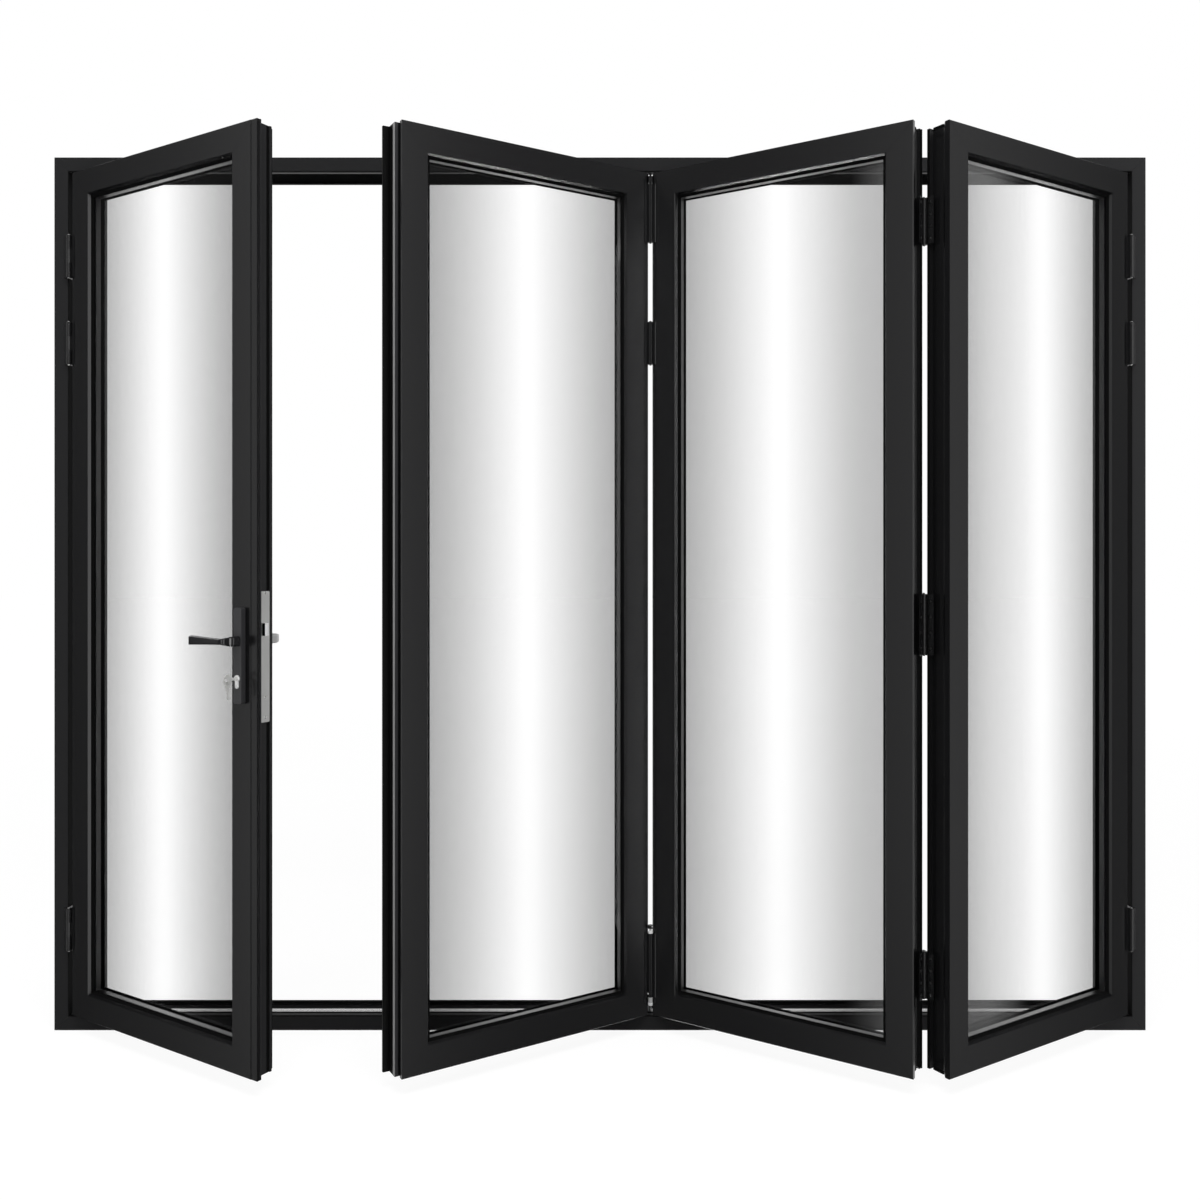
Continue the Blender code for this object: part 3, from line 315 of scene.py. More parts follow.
# finishes by node name; the track, meeting, jamb, frame, bead and latch entries carry painted light, shade or
# reflection
finishAndPaintedLightWords = {
    "track": paintedShadeBlack,
    "leaf_1_meeting": frameCoatPaintedLight,
    "leaf_2_meeting": paintedShadeBlack,
    "plate_inside": satinSilver,
    "handle_plate": plateBlack,
    "hinge": hardwareBlack,
    "carrier": hardwareBlack,
    "guide": hardwareBlack,
    "jamb": frameCoatPaintedLight,
    "frame_": frameCoatPaintedLight,
    "bead": beadCoatPaintedShade,
    "latch": chromePaintedWhiteSheen,
}
for part in frame["record"]["subparts"]:
    node = frame["nodes"][part["node"]]
    chosen = slotMaterials[part["material_slot"]]
    words = [word for word in finishAndPaintedLightWords if word in part["node"]]
    if words and (chosen is coat or "latch" in words):
        chosen = finishAndPaintedLightWords[words[0]]
    node.data.materials.clear()
    node.data.materials.append(chosen)
print("materials done")

# glass units, their spacer bars and gaskets

glazing = {
    "edge": 0.0645,
    "front": 0.0155,
    "back": 0.0455,
    "pane": 0.005,
    "beadSight": 0.079,
    "spacerTop": 0.0777,
    "spacerWidth": 0.0145,
    "gasketOuter": (0.0727, 0.0092),
    "gasketInner": 0.0792,
    # how far the painted reflection's grey reaches on each side of leaves 1 and 4
    "paintedReflectionSpread": {"leaf_1": (1.0, 1.08), "leaf_4": (1.2, 1.0)},
}


def paneShell(leaf, near, far):
    edge = glazing["edge"]
    points, faces = boxShell((edge, near, edge), (door["leafWidth"] - edge, far, door["leafHeight"] - edge))
    return fromLeaf(leaf, points), faces


def setAcross(made, leaf):
    # the map "across" runs from 0 at a pane's left edge to 1 at its right, as seen from outside
    pivot, angle, corner = leafPlaces[leaf]
    mesh = made.data
    flat = np.zeros(len(mesh.vertices) * 3)
    mesh.vertices.foreach_get("co", flat)
    local = (flat.reshape(-1, 3) - pivot) @ rotation(angle) - corner
    share = (local[:, 0] - glazing["edge"]) / (door["leafWidth"] - 2 * glazing["edge"]) - 0.5
    leftScale, rightScale = glazing["paintedReflectionSpread"].get(leaf, (1.0, 1.0))
    share = 0.5 + share * np.where(share < 0, leftScale, rightScale)
    height = local[:, 2] / door["leafHeight"]
    order = np.zeros(len(mesh.loops), int)
    mesh.loops.foreach_get("vertex_index", order)
    layer = mesh.uv_layers.new(name="across")
    layer.data.foreach_set("uv", np.stack([share[order], height[order]], -1).ravel())


for leaf, body in leafBodies.items():
    front, back, pane = glazing["front"], glazing["back"], glazing["pane"]
    edge, sight, top = glazing["edge"], glazing["beadSight"], glazing["spacerTop"]
    shells = [paneShell(leaf, front, front + pane), paneShell(leaf, back - pane, back)]
    panes = piece(leaf + "Panes", shells, clearGlass, body, (leaf + "_glass",), smooth=0)
    setAcross(panes, leaf)

    start, end = front + pane + 0.0002, back - pane - 0.0002
    middle = start + glazing["spacerWidth"]
    bar = [(edge + 0.001, start), (top, start), (top, middle), (edge + 0.001, middle)]
    piece(leaf + "SpacerBar", [ringShell(leaf, bar)], alloySpacer, body, smooth=0)

    # the sealant behind the bar, a wedge of rubber from the sash's slope to the glass, a strip under the bead
    sealant = [(edge + 0.001, middle), (top - 0.0002, middle), (top - 0.0002, end), (edge + 0.001, end)]
    wedgeIn, wedgeDeep = glazing["gasketOuter"]
    inner = glazing["gasketInner"]
    wedge = [(wedgeIn, wedgeDeep), (inner, front - 0.0012), (inner, front - 0.0001),
             (0.0778, front - 0.0001), (wedgeIn - 0.0006, wedgeDeep)]
    strip = [(sight - 0.0006, back + 0.0001), (sight + 0.0007, back + 0.0001),
             (sight + 0.0007, back + 0.0009), (sight + 0.0003, back + 0.0021),
             (sight - 0.0006, back + 0.0021)]
    piece(leaf + "Gaskets", [ringShell(leaf, sealant), ringShell(leaf, wedge), ringShell(leaf, strip)],
          rubber, body, smooth=50)
print("glass done")

# seals: a bulb strip in each jamb, brushes on the leaves' top and bottom edges, edge strips at the folds

seals = {
    "setback": 0.0802,
    "width": 0.0036,
    "proud": 0.0028,
    "depth": 0.0046,
    "brushDepth": 0.009,
    "brushSpan": (0.0275, 0.0592),
    "foldProud": {"outer": 0.0032, "inner": 0.0032},
    "thin": 0.0007,
    "rear": 0.0024,
    "headLips": ((0.0006, 0.0092, "thin"), (0.0985, 0.1096, "rear")),
    "sillLips": ((0.0006, 0.0120, "thin"), (0.0225, 0.0343, "thin"), (0.0985, 0.1096, "rear")),
    "jambLip": (0.0006, 0.0280, 0.0010),
}


def prismShell(outline, place, low, high):
    # an outline (a, b) set at low and high, with place turning (a, b, along) into points
    flat = np.asarray(outline, float)
    return tube([place(flat[:, 0], flat[:, 1], np.full(len(flat), end)) for end in (low, high)])


angles = np.linspace(0, np.pi, 9)
sealMiddle = door["front"] + seals["setback"] + seals["width"] / 2
bulb = [(seals["proud"] * math.sin(a), sealMiddle - seals["width"] / 2 * math.cos(a)) for a in angles]
bulb += [(-seals["depth"], sealMiddle + seals["width"] / 2),
         (-seals["depth"], sealMiddle - seals["width"] / 2)]
strips = []
for side in (-1, 1):
    strips.append(prismShell(
        bulb,
        lambda inward, y, z: np.stack([side * (door["clearHalf"] - inward), y, z], -1),
        door["clearBottom"] + 0.002, door["clearTop"] - 0.002,
    ))
nearLip, farLip, lipProud = seals["jambLip"]
for side in (-1, 1):
    ends = sorted((side * (door["clearHalf"] - lipProud), side * (door["clearHalf"] + 0.0002)))
    strips.append(boxShell((ends[0], door["front"] + nearLip, door["clearBottom"]),
                           (ends[1], door["front"] + farLip, door["clearTop"])))
lipRows = (
    (door["clearTop"], -1, seals["headLips"]),
    (door["clearBottom"], 1, seals["sillLips"]),
)
for level, inward, lips in lipRows:
    for near, far, proud in lips:
        low, high = sorted((level - inward * 0.0002, level + inward * seals[proud]))
        strips.append(boxShell((-door["clearHalf"], door["front"] + near, low),
                               (door["clearHalf"], door["front"] + far, high)))
piece("frameSeal", strips, rubber, "frame", smooth=50)

for leaf, body in leafBodies.items():
    ends = seals["brushDepth"] + 0.0003
    near, far = seals["brushSpan"]
    low = boxShell((ends, near, 0.0003), (door["leafWidth"] - ends, far, ends))
    high = (low[0] + [0, 0, door["leafHeight"] - ends - 0.0003], low[1])
    piece(leaf + "Brushes", [(fromLeaf(leaf, points), faces) for points, faces in (low, high)],
          rubber, body, smooth=0)


def foldStrip(leaf, atRight, near, far, edge, proud):
    # a strip of soft plastic on a leaf's edge, proud of it, between two depths
    outline = [(edge, near), (-proud, near + 0.0015), (-proud, far - 0.0015), (edge, far)]
    width = door["leafWidth"]
    points, faces = prismShell(
        outline,
        lambda across, depth, up: np.stack([width - across if atRight else across, depth, up], -1),
        0.004, door["leafHeight"] - 0.004,
    )
    return fromLeaf(leaf, points), faces


outerProud, innerProud = seals["foldProud"]["outer"], seals["foldProud"]["inner"]
piece("foldStrips", [
    foldStrip("leaf_2", True, 0.0015, 0.0125, 0.0001, outerProud),
    foldStrip("leaf_3", False, 0.0015, 0.0125, 0.0001, outerProud),
    foldStrip("leaf_3", True, 0.0635, 0.0690, 0.0016, innerProud),
    foldStrip("leaf_4", False, 0.0635, 0.0690, 0.0016, innerProud),
], rubber, "frame", smooth=0)


def edgeStrip(leaf, atRight, outline):
    # a strip along a leaf's edge from its section (out, depth)
    width = door["leafWidth"]
    points, faces = prismShell(
        outline,
        lambda out, depth, up: np.stack([width + out if atRight else -out, depth, up], -1),
        0.0005, door["leafHeight"] - 0.0005,
    )
    return fromLeaf(leaf, points), faces


# the meeting stiles: leaf 1's flange has a cover and a dark side strip, painted shade of a groove; leaf 2's
# shelf a lighter grey cover, painted light, with a pale lip, a painted highlight
flangeCover = [(0.0003, 0.0012), (0.0200, 0.0012), (0.0207, 0.0019), (0.0207, 0.0094), (0.0003, 0.0094)]
# a thin dark strip: painted shade of the groove on leaf 1's flange side
flangeGroovePaintedShade = [(0.0031, 0.0460), (0.0035, 0.0462), (0.0035, 0.0533), (0.0031, 0.0535)]
shelfPaintedLightOutline = [(0.0006, 0.0233), (0.0084, 0.0233), (0.0088, 0.0241), (0.0006, 0.0241)]
# a pale strip that is a painted highlight
paintedHighlightOutline = [(0.0089, 0.0246), (0.0099, 0.0250), (0.0099, 0.0345), (0.0089, 0.0349)]
piece("flangeCover", [edgeStrip("leaf_1", True, flangeCover)], coat, "access_leaf", smooth=0)
piece("flangeGroovePaintedShade", [edgeStrip("leaf_1", True, flangeGroovePaintedShade)], rubber, "access_leaf", smooth=0)
piece("shelfPaintedLightStrip", [edgeStrip("leaf_2", False, shelfPaintedLightOutline)], greyPaintedLight, "frame", smooth=0)
piece("shelfPaintedHighlight", [edgeStrip("leaf_2", False, paintedHighlightOutline)], paintedHighlightGrey, "frame", smooth=0)
print("seals done")

# hinge pins and screws

hardware = {
    "pinRadius": 0.0032,
    "pinProud": 0.0028,
    "screwRadius": 0.0038,
    "screwDome": 0.0007,
    "recess": 0.0009,
}
jambHeights = (0.285, 1.917, 2.159)
jambHinge = 0.118
innerHinges = ((0.278, 0.118), (1.154, 0.153), (2.162, 0.118))
outerHinges = ((0.185, 0.178), (1.917, 0.118), (2.279, 0.163))


def pinEnds(pivot, heights):
    # a short domed cap on each end of a pin
    r, proud = hardware["pinRadius"], hardware["pinProud"]
    shells = []
    for middle, height in heights:
        for way in (-1, 1):
            start = np.array([pivot[0], pivot[1], middle + way * (height / 2 + 0.0002)])
            cap = [(0, r), (proud - 0.0008, r), (proud, r * 0.7)]
            shells.append(turnedShell(start, (0, 0, way), cap, 20))
    return shells


jambPins = [(z, jambHinge) for z in jambHeights]
piece("leftHingePins", pinEnds(leftPivot, jambPins), polishedSteel, "frame")
piece("rightHingePins", pinEnds(rightPivot, jambPins), polishedSteel, "frame")
piece("innerFoldPins", pinEnds(innerPivot, innerHinges), polishedSteel, "frame")
piece("outerFoldPins", pinEnds(outerPivot, outerHinges), hardwareBlack, "frame")


def screwHead(centre, axis, radius, upright=(0, 0, 1)):
    # polar grid: height = dome * (1 - (r / R) ** 2) less a recess where the point lies on the cross
    axis = np.asarray(axis, float)
    axis = axis / np.linalg.norm(axis)
    up = np.asarray(upright, float)
    side = np.cross(up, axis)
    r = np.array([1.0, 0.9, 0.62, 0.58, 0.4, 0.2, 0.02]) * radius
    a = np.linspace(0, 2 * np.pi, 48, endpoint=False)
    r, a = np.meshgrid(r, a, indexing="ij")
    x, y = r * np.cos(a), r * np.sin(a)
    arm = 0.14 * radius
    cross = ((np.abs(x) < arm) | (np.abs(y) < arm)) & (r < 0.6 * radius)
    height = hardware["screwDome"] * (1 - (r / radius) ** 2) - hardware["recess"] * cross
    height[0] = -0.0004
    points = np.asarray(centre) + height[..., None] * axis + x[..., None] * side + y[..., None] * up
    return tube(points)


folds = {
    "screwOffsets": (-0.045, -0.015, 0.015, 0.045),
    "screwSpan": 0.118,
    "plateDepth": 0.0585,
    "plateFace": 0.0029,
    "capBottom": 0.2745,
    "capRadius": 0.0068,
    "guideDepth": 0.0524,
    "ferruleBottom": 0.0705,
    "ferruleRadius": 0.0070,
    "prongBottom": 0.0345,
    "prongTop": 0.0487,
    "prongHalf": 0.0062,
    "slot": 0.0011,
    "rivetRadius": 0.0020,
    "rivets": (
        (-0.0046, -0.0050, 2.3826), (0.0046, -0.0050, 2.3826),
        (0.0042, -0.0054, 0.2946), (-0.0062, -0.0030, 0.1073),
    ),
}


def plateScrews(leaf, atRight, depth, hinges):
    # the screws of the hinge plates on one edge of a leaf, four to a plate
    width = door["leafWidth"]
    across = width + folds["plateFace"] if atRight else -folds["plateFace"]
    axis = rotation(leafPlaces[leaf][1]) @ [1.0 if atRight else -1.0, 0, 0]
    shells = []
    for middle, height in hinges:
        for offset in folds["screwOffsets"]:
            up = middle + offset * height / folds["screwSpan"] - door["leafBottom"]
            shells.append(screwHead(fromLeaf(leaf, [across, depth, up]), axis, hardware["screwRadius"]))
    return shells


inner, outer = folds["plateDepth"], door["leafDepth"] - folds["plateDepth"]
innerScrews = plateScrews("leaf_3", True, inner, innerHinges)
innerScrews += plateScrews("leaf_4", False, inner, innerHinges)
outerScrews = plateScrews("leaf_2", True, outer, outerHinges)
outerScrews += plateScrews("leaf_3", False, outer, outerHinges)
piece("innerFoldScrews", innerScrews, zincScrew, "frame", smooth=50)
piece("outerFoldScrews", outerScrews, zincScrew, "frame", smooth=50)
piece("accessLeafScrews", plateScrews("leaf_1", False, outer, jambPins), zincScrew, "access_leaf", smooth=50)
piece("rightJambScrews", plateScrews("leaf_4", True, outer, jambPins), zincScrew, "frame", smooth=50)

# the fold between leaves 2 and 3: chrome cap, cone, rivets and fork, with a dark collar over the cap
capRadius, ferruleRadius, rivetRadius = folds["capRadius"], folds["ferruleRadius"], folds["rivetRadius"]
upright = (0, 0, 1)
guideAxis = outerPivot + np.array([0, folds["guideDepth"], 0])
capFoot = outerPivot + [0, 0, folds["capBottom"]]
ferruleFoot = outerPivot + [0, 0, folds["ferruleBottom"]]
cap = [(0, capRadius - 0.0006), (0.0006, capRadius), (0.0035, capRadius), (0.0115, 0.0026), (0.0125, 0.0020)]
cone = [(0, 0.0036), (0.0035, ferruleRadius - 0.0006), (0.0070, ferruleRadius), (0.0125, ferruleRadius)]
rivet = [(-0.001, rivetRadius), (0.0004, rivetRadius), (0.0010, rivetRadius - 0.0008)]
# the chrome parts are white with a painted reflection
bright = [turnedShell(capFoot, upright, cap), turnedShell(ferruleFoot, upright, cone)]
for across, front, up in folds["rivets"]:
    bright.append(turnedShell(outerPivot + [across, front, up], (0, -1, 0), rivet, 16))
for side in (-1, 1):
    near, far = sorted((side * folds["slot"], side * folds["prongHalf"]))
    points, faces = boxShell((near, -0.003, folds["prongBottom"]), (far, 0.003, folds["prongTop"]))
    bright.append((points + guideAxis, faces))
piece("guideFerrules", bright, chromePaintedWhiteSheen, "frame", smooth=35)
collar = [(0, 0.0045), (0.0012, 0.0070), (0.0100, 0.0070), (0.0108, 0.0060)]
collarFoot = capFoot + [0, 0, 0.0125]
piece("guideCollar", [turnedShell(collarFoot, upright, collar)], hardwareBlack, "frame", smooth=35)
taper = [(0.0128, ferruleRadius - 0.0002), (0.0140, ferruleRadius - 0.0004), (0.0270, 0.0067)]
piece("guideTaper", [turnedShell(ferruleFoot, upright, taper)], satinSilver, "frame", smooth=35)
print("hinges done")

# lock, handles and keys

lock = {
    "backset": 0.0325,
    "height": 1.117,
    "plateDepth": 0.014,
    "leverReach": 0.133,
    "leverProjection": 0.048,
    "leverBend": 0.016,
    "neck": (0.0200, 0.0250),
    "tip": (0.011, 0.0235),
    "waist": (0.0095, 0.0150),
    "chamfer": 0.0095,
    "chamferSlope": 0.27,
    "latchRise": 0.0275,
    "latchThrow": 0.0095,
    "latchSize": (0.019, 0.031),
    "cylinderDrop": 0.092,
    "cylinderRadius": 0.0085,
    "cylinderHalf": 0.005,
    "cylinderTail": 0.0245,
    "cylinderProud": 0.0033,
    "faceSeat": 0.0063,
    "faceSetback": 0.040,
    "faceScrews": (1.2345, 0.9755, 0.9270),
}
spindleAcross = door["leafWidth"] - lock["backset"]
spindleUp = lock["height"] - door["leafBottom"]


def softSquare(width, height, count=40, power=0.55):
    # x = w/2 cos|cos|^(p-1), y = h/2 sin|sin|^(p-1)
    a = np.linspace(0, 2 * np.pi, count, endpoint=False)
    x = np.sign(np.cos(a)) * np.abs(np.cos(a)) ** power * width / 2
    y = np.sign(np.sin(a)) * np.abs(np.sin(a)) ** power * height / 2
    return x, y


def leverShell(face, outward):
    # a section that goes from square to flat, carried out of the plate, round a quarter bend, along the blade
    bend, neck = lock["leverBend"], lock["neck"]
    start = face + outward * (lock["plateDepth"] - 0.003)
    blade = face + outward * lock["leverProjection"]
    rings = []

    def ring(centre, across, width, height, power, cut=0.0):
        # the top slopes down towards the outward side, over the width of the cut
        x, y = softSquare(width, height, power=power)
        y = np.minimum(y, height / 2 - lock["chamferSlope"] * np.clip(x - width / 2 + cut, 0, None))
        flat = x[:, None] * np.asarray(across) + y[:, None] * np.array([0, 0, 1.0])
        rings.append(np.asarray(centre) + flat)

    for depth in (start, blade - outward * bend):
        ring((0, depth, 0), (1, 0, 0), *neck, 0.45)
    for step in np.linspace(0.1, 1, 10):
        a = step * math.pi / 2
        centre = (-bend * (1 - math.cos(a)), blade - outward * bend * (1 - math.sin(a)), 0)
        across = (math.cos(a), outward * math.sin(a), 0)
        width = neck[0] * (1 - step) + lock["waist"][0] * step
        height = neck[1] * (1 - step) + lock["waist"][1] * step
        ring(centre, across, width, height, 0.45 - 0.05 * step)
    length = lock["leverReach"] - bend
    for share in np.linspace(0.08, 1, 12):
        along = -bend - (length - 0.0012) * share
        widen = share ** 1.3
        width = lock["waist"][0] + (lock["tip"][0] - lock["waist"][0]) * widen
        height = lock["waist"][1] + (lock["tip"][1] - lock["waist"][1]) * widen
        ring((along, blade, 0), (0, outward, 0), width, height, 0.4 - 0.15 * share, lock["chamfer"])
    tipWidth, tipHeight = lock["tip"]
    ring((-lock["leverReach"], blade, 0), (0, outward, 0), tipWidth - 0.0024, tipHeight - 0.0024, 0.25,
         lock["chamfer"])
    points, faces = tube(rings)
    return fromLeaf("leaf_1", points + [spindleAcross, 0, spindleUp]), faces


spindle = boxShell((-0.004, -0.014, -0.004), (0.004, door["leafDepth"] + 0.014, 0.004))
spindle = (fromLeaf("leaf_1", spindle[0] + np.array([spindleAcross, 0, spindleUp])), spindle[1])
piece("leverOutside", [leverShell(0, -1), spindle], leverBlack, "lever",
      ("lever_handles",), smooth=25)
piece("leverInside", [leverShell(door["leafDepth"], 1)], satinSilver, "lever", smooth=25)


def euroOutline(grow=0.0, count=24):
    # round top about the key, straight sides, round foot
    radius, half = lock["cylinderRadius"] + grow, lock["cylinderHalf"] + grow
    foot = -lock["cylinderTail"] - grow + half
    turn = math.acos(half / radius)
    a = np.linspace(-turn, math.pi + turn, count)
    top = np.stack([radius * np.cos(a), radius * np.sin(a)], -1)
    b = np.linspace(math.pi, 2 * math.pi, count // 2)
    low = np.stack([half * np.cos(b), foot + half * np.sin(b)], -1)
    return np.concatenate([top, low])


def lockShell(outline, depths, grows=None):
    # outline (across, up) about the key, set at each depth
    rings = []
    for i, depth in enumerate(depths):
        flat = outline if grows is None else outline * grows[i]
        rings.append(np.stack([
            spindleAcross + flat[:, 0],
            np.full(len(flat), depth),
            spindleUp - lock["cylinderDrop"] + flat[:, 1],
        ], -1))
    points, faces = tube(rings)
    return fromLeaf("leaf_1", points), faces


proud = lock["plateDepth"] + lock["cylinderProud"]
inside = door["leafDepth"] + proud
# the cylinder's white is a painted reflection
piece("cylinderBody", [lockShell(euroOutline(), (-proud, -proud + 0.0006, inside - 0.0006, inside),
                                 (0.95, 1.0, 1.0, 0.95))],
      chromePaintedWhiteSheen, "access_leaf", ("lock_cylinder",), smooth=30)
plug = np.stack([0.0058 * np.cos(np.linspace(0, 2 * np.pi, 40, endpoint=False)),
                 0.0058 * np.sin(np.linspace(0, 2 * np.pi, 40, endpoint=False))], -1)
plugs = [
    lockShell(plug, (-proud - 0.0004, -proud + 0.001)),
    lockShell(plug, (inside - 0.001, inside + 0.0004)),
]
piece("cylinderPlugs", plugs, nickelWithPaintedSheen, "access_leaf", smooth=30)
keyway = np.array([[-0.0008, -0.0042], [0.0008, -0.0042], [0.0008, 0.0042], [-0.0008, 0.0042]])
slots = [
    lockShell(keyway, (-proud - 0.0006, -proud + 0.0005)),
    lockShell(keyway, (inside - 0.0005, inside + 0.0006)),
]
piece("keyways", slots, blackHole, "access_leaf", smooth=0)

keys = {
    "bow": (0.0125, 0.0088),
    "thick": 0.0024,
    "bladeWidth": 0.0076,
    "bladeLength": 0.027,
    "stand": 0.0262,
    "hang": 0.0140,
    "ringWire": 0.0008,
}


def keyShells(centre, along, thin, bow):
    # a key in its own plane: a flat ring for the bow about centre, and a toothed blade that points along
    along, thin = np.asarray(along, float), np.asarray(thin, float)
    side = np.cross(along, thin)
    a = np.linspace(0, 2 * np.pi, 36, endpoint=False)
    half, hole, hub = keys["thick"] / 2, bow * 0.33, -0.35 * bow
    section = np.array([(bow, -half), (bow, half), (hole, half), (hole, -half)])
    way = np.outer(np.cos(a), along) + np.outer(np.sin(a), side)
    shift = np.outer([0, 0, hub, hub], along)
    rings = centre + shift + section[:, :1] * way[:, None] + section[:, 1:] * thin
    teeth = np.array([0.0, 0.0, 1.2, 0.3, 1.8, 0.6, 1.4, 0.2, 1.6, 2.6]) * 0.001
    wide = keys["bladeWidth"]
    x = np.linspace(0.7 * bow, 0.9 * bow + keys["bladeLength"], len(teeth))
    upper = np.stack([x, wide / 2 - teeth], -1)
    lower = np.stack([x[::-1], np.full(len(teeth), -wide / 2)], -1)
    flat = np.concatenate([upper, lower])
    base = centre + flat[:, :1] * along + flat[:, 1:] * side
    return [tube(rings, wrap=True), tube([base - thin * half * 0.8, base + thin * half * 0.8])]


keyUp = spindleUp - lock["cylinderDrop"]
thin = np.array([1.0, 0, 0])
firstBow = np.array([spindleAcross, -proud - keys["stand"], keyUp])
secondBow = firstBow - [0, 0, keys["hang"]]
keyParts = keyShells(firstBow, (0, 1, 0), thin, keys["bow"][0])
keyParts += keyShells(secondBow, (0, 0, -1), thin, keys["bow"][1])

# the split ring runs through both bows: centre + R (w cos a + x sin a), with a round wire
firstHole = firstBow - [0, 0.35 * keys["bow"][0], 0]
secondHole = secondBow + [0, 0, 0.35 * keys["bow"][1]]
between = secondHole - firstHole
reach = np.linalg.norm(between) / 2 + 0.0012
w = between / np.linalg.norm(between)
a = np.linspace(0, 2 * np.pi, 40, endpoint=False)
b = np.linspace(0, 2 * np.pi, 10, endpoint=False)
radial = np.outer(np.cos(a), w) + np.outer(np.sin(a), thin)
wire = (reach + keys["ringWire"] * np.cos(b))[None, :, None] * radial[:, None]
wire = wire + (keys["ringWire"] * np.sin(b))[None, :, None] * np.cross(w, thin)
keyParts.append(tube(wire + (firstHole + secondHole) / 2, wrap=True))
keyParts = [(fromLeaf("leaf_1", points), faces) for points, faces in keyParts]
piece("keySet", keyParts, nickelWithPaintedSheen, "access_leaf", ("keys",), smooth=35)

# the latch bolt's side towards the outside is in shadow: a thin dark skin on it
latchWide, latchHigh = lock["latchSize"]
latchFront = door["leafWidth"] + lock["faceSeat"] + lock["latchThrow"]
latchMiddle = spindleUp + lock["latchRise"]
near = lock["faceSetback"] - latchWide / 2
shadowSide = [(latchFront - 0.0094, near - 0.0003), (latchFront - 0.0002, near - 0.0003),
              (latchFront - 0.0002, near - 0.0001), (latchFront - 0.0094, near - 0.0001)]
points, faces = prismShell(
    shadowSide,
    lambda across, depth, up: np.stack([across, depth, up], -1),
    latchMiddle - latchHigh / 2, latchMiddle + latchHigh / 2,
)
piece("latchShadowSide", [(fromLeaf("leaf_1", points), faces)], blackHole, "latch", smooth=0)

faceNormal = rotation(-door["turn"]) @ [1.0, 0, 0]
faceOut = door["leafWidth"] + lock["faceSeat"] + 0.0001
screws = []
for height in lock["faceScrews"]:
    centre = fromLeaf("leaf_1", [faceOut, lock["faceSetback"], height - door["leafBottom"]])
    screws.append(screwHead(centre, faceNormal, hardware["screwRadius"]))
piece("faceplateScrews", screws, polishedSteel, "access_leaf", smooth=50)
print("lock done")

# camera, light and floor

view = {"x": -0.0042, "y": -3.168, "z": 1.3326, "lens": 33.45, "shiftX": 0.00125, "shiftY": -0.039}
camera = bpy.data.cameras.new("photoCamera")
camera.lens = view["lens"]
camera.sensor_width = 36
camera.shift_x = view["shiftX"]
camera.shift_y = view["shiftY"]
cameraObject = bpy.data.objects.new("photoCamera", camera)
cameraObject.location = (view["x"], view["y"], view["z"])
cameraObject.rotation_euler = (math.pi / 2, 0, 0)
bpy.context.scene.collection.objects.link(cameraObject)
bpy.context.scene.camera = cameraObject

studio = {
    "diffuse": 0.30,
    "shown": 1.0,
    "mirrorFront": (0.0, 0.04),
    "mirrorBack": 1.0,
    "mirrorSteep": 8.0,
    # tall panels: name, the slopes -y / |x| where it starts, is full, starts to fade and ends, strength
    "panels": (
        ("rightSide", (0.09, 0.13, 0.33, 0.40), 0.85),
        ("rightCorner", (0.80, 0.90, 1.60, 2.00), 2.4),
        ("leftSide", (0.15, 0.19, 0.38, 0.44), 1.2),
        ("leftCorner", (0.80, 0.90, 1.60, 2.00), 0.9),
    ),
    "floorNear": 0.92,
    "floorFar": 0.958,
}
lamps = (
    # name, place, aim, width, height, watts
    ("topLamp", (0.0, -2.2, 5.0), (0, 0, 1.2), 3.0, 1.2, 115),
    ("lowLamp", (0.0, -2.6, 0.25), (0, 0, 1.8), 3.0, 0.35, 5),
    ("leftLamp", (-4.0, -1.75, 1.5), (-0.6, -0.2, 1.2), 1.2, 2.4, 26),
    ("rightLamp", (4.0, -1.75, 1.5), (0.6, -0.2, 1.2), 1.2, 2.4, 26),
)
for name, place, aim, width, height, watts in lamps:
    lamp = bpy.data.lights.new(name, "AREA")
    lamp.shape = "RECTANGLE"
    lamp.size, lamp.size_y, lamp.energy = width, height, watts
    lampObject = bpy.data.objects.new(name, lamp)
    lampObject.location = place
    lampObject.visible_camera = False
    lampObject.visible_glossy = False
    away = np.subtract(place, aim)
    tilt = math.atan2(math.hypot(away[0], away[1]), away[2])
    lampObject.rotation_euler = (tilt, 0, math.atan2(away[0], -away[1]))
    bpy.context.scene.collection.objects.link(lampObject)

world = bpy.data.worlds.new("paleStudio")
bpy.context.scene.world = world
world.use_nodes = True
tree = world.node_tree
shown = tree.nodes["Background"]
shown.inputs["Color"].default_value = (1, 1, 1, 1)
shown.inputs["Strength"].default_value = studio["shown"]
rays = addNode(tree, "ShaderNodeLightPath")
soft = addNode(tree, "ShaderNodeBackground", values={"Color": (1, 1, 1, 1), "Strength": studio["diffuse"]})

# what shiny surfaces see: a dim front, a white back, a bright strip of floor and tall panels to each side
way = addNode(tree, "ShaderNodeTexCoord")
parts = addNode(tree, "ShaderNodeSeparateXYZ", links={"Vector": way.outputs["Generated"]})

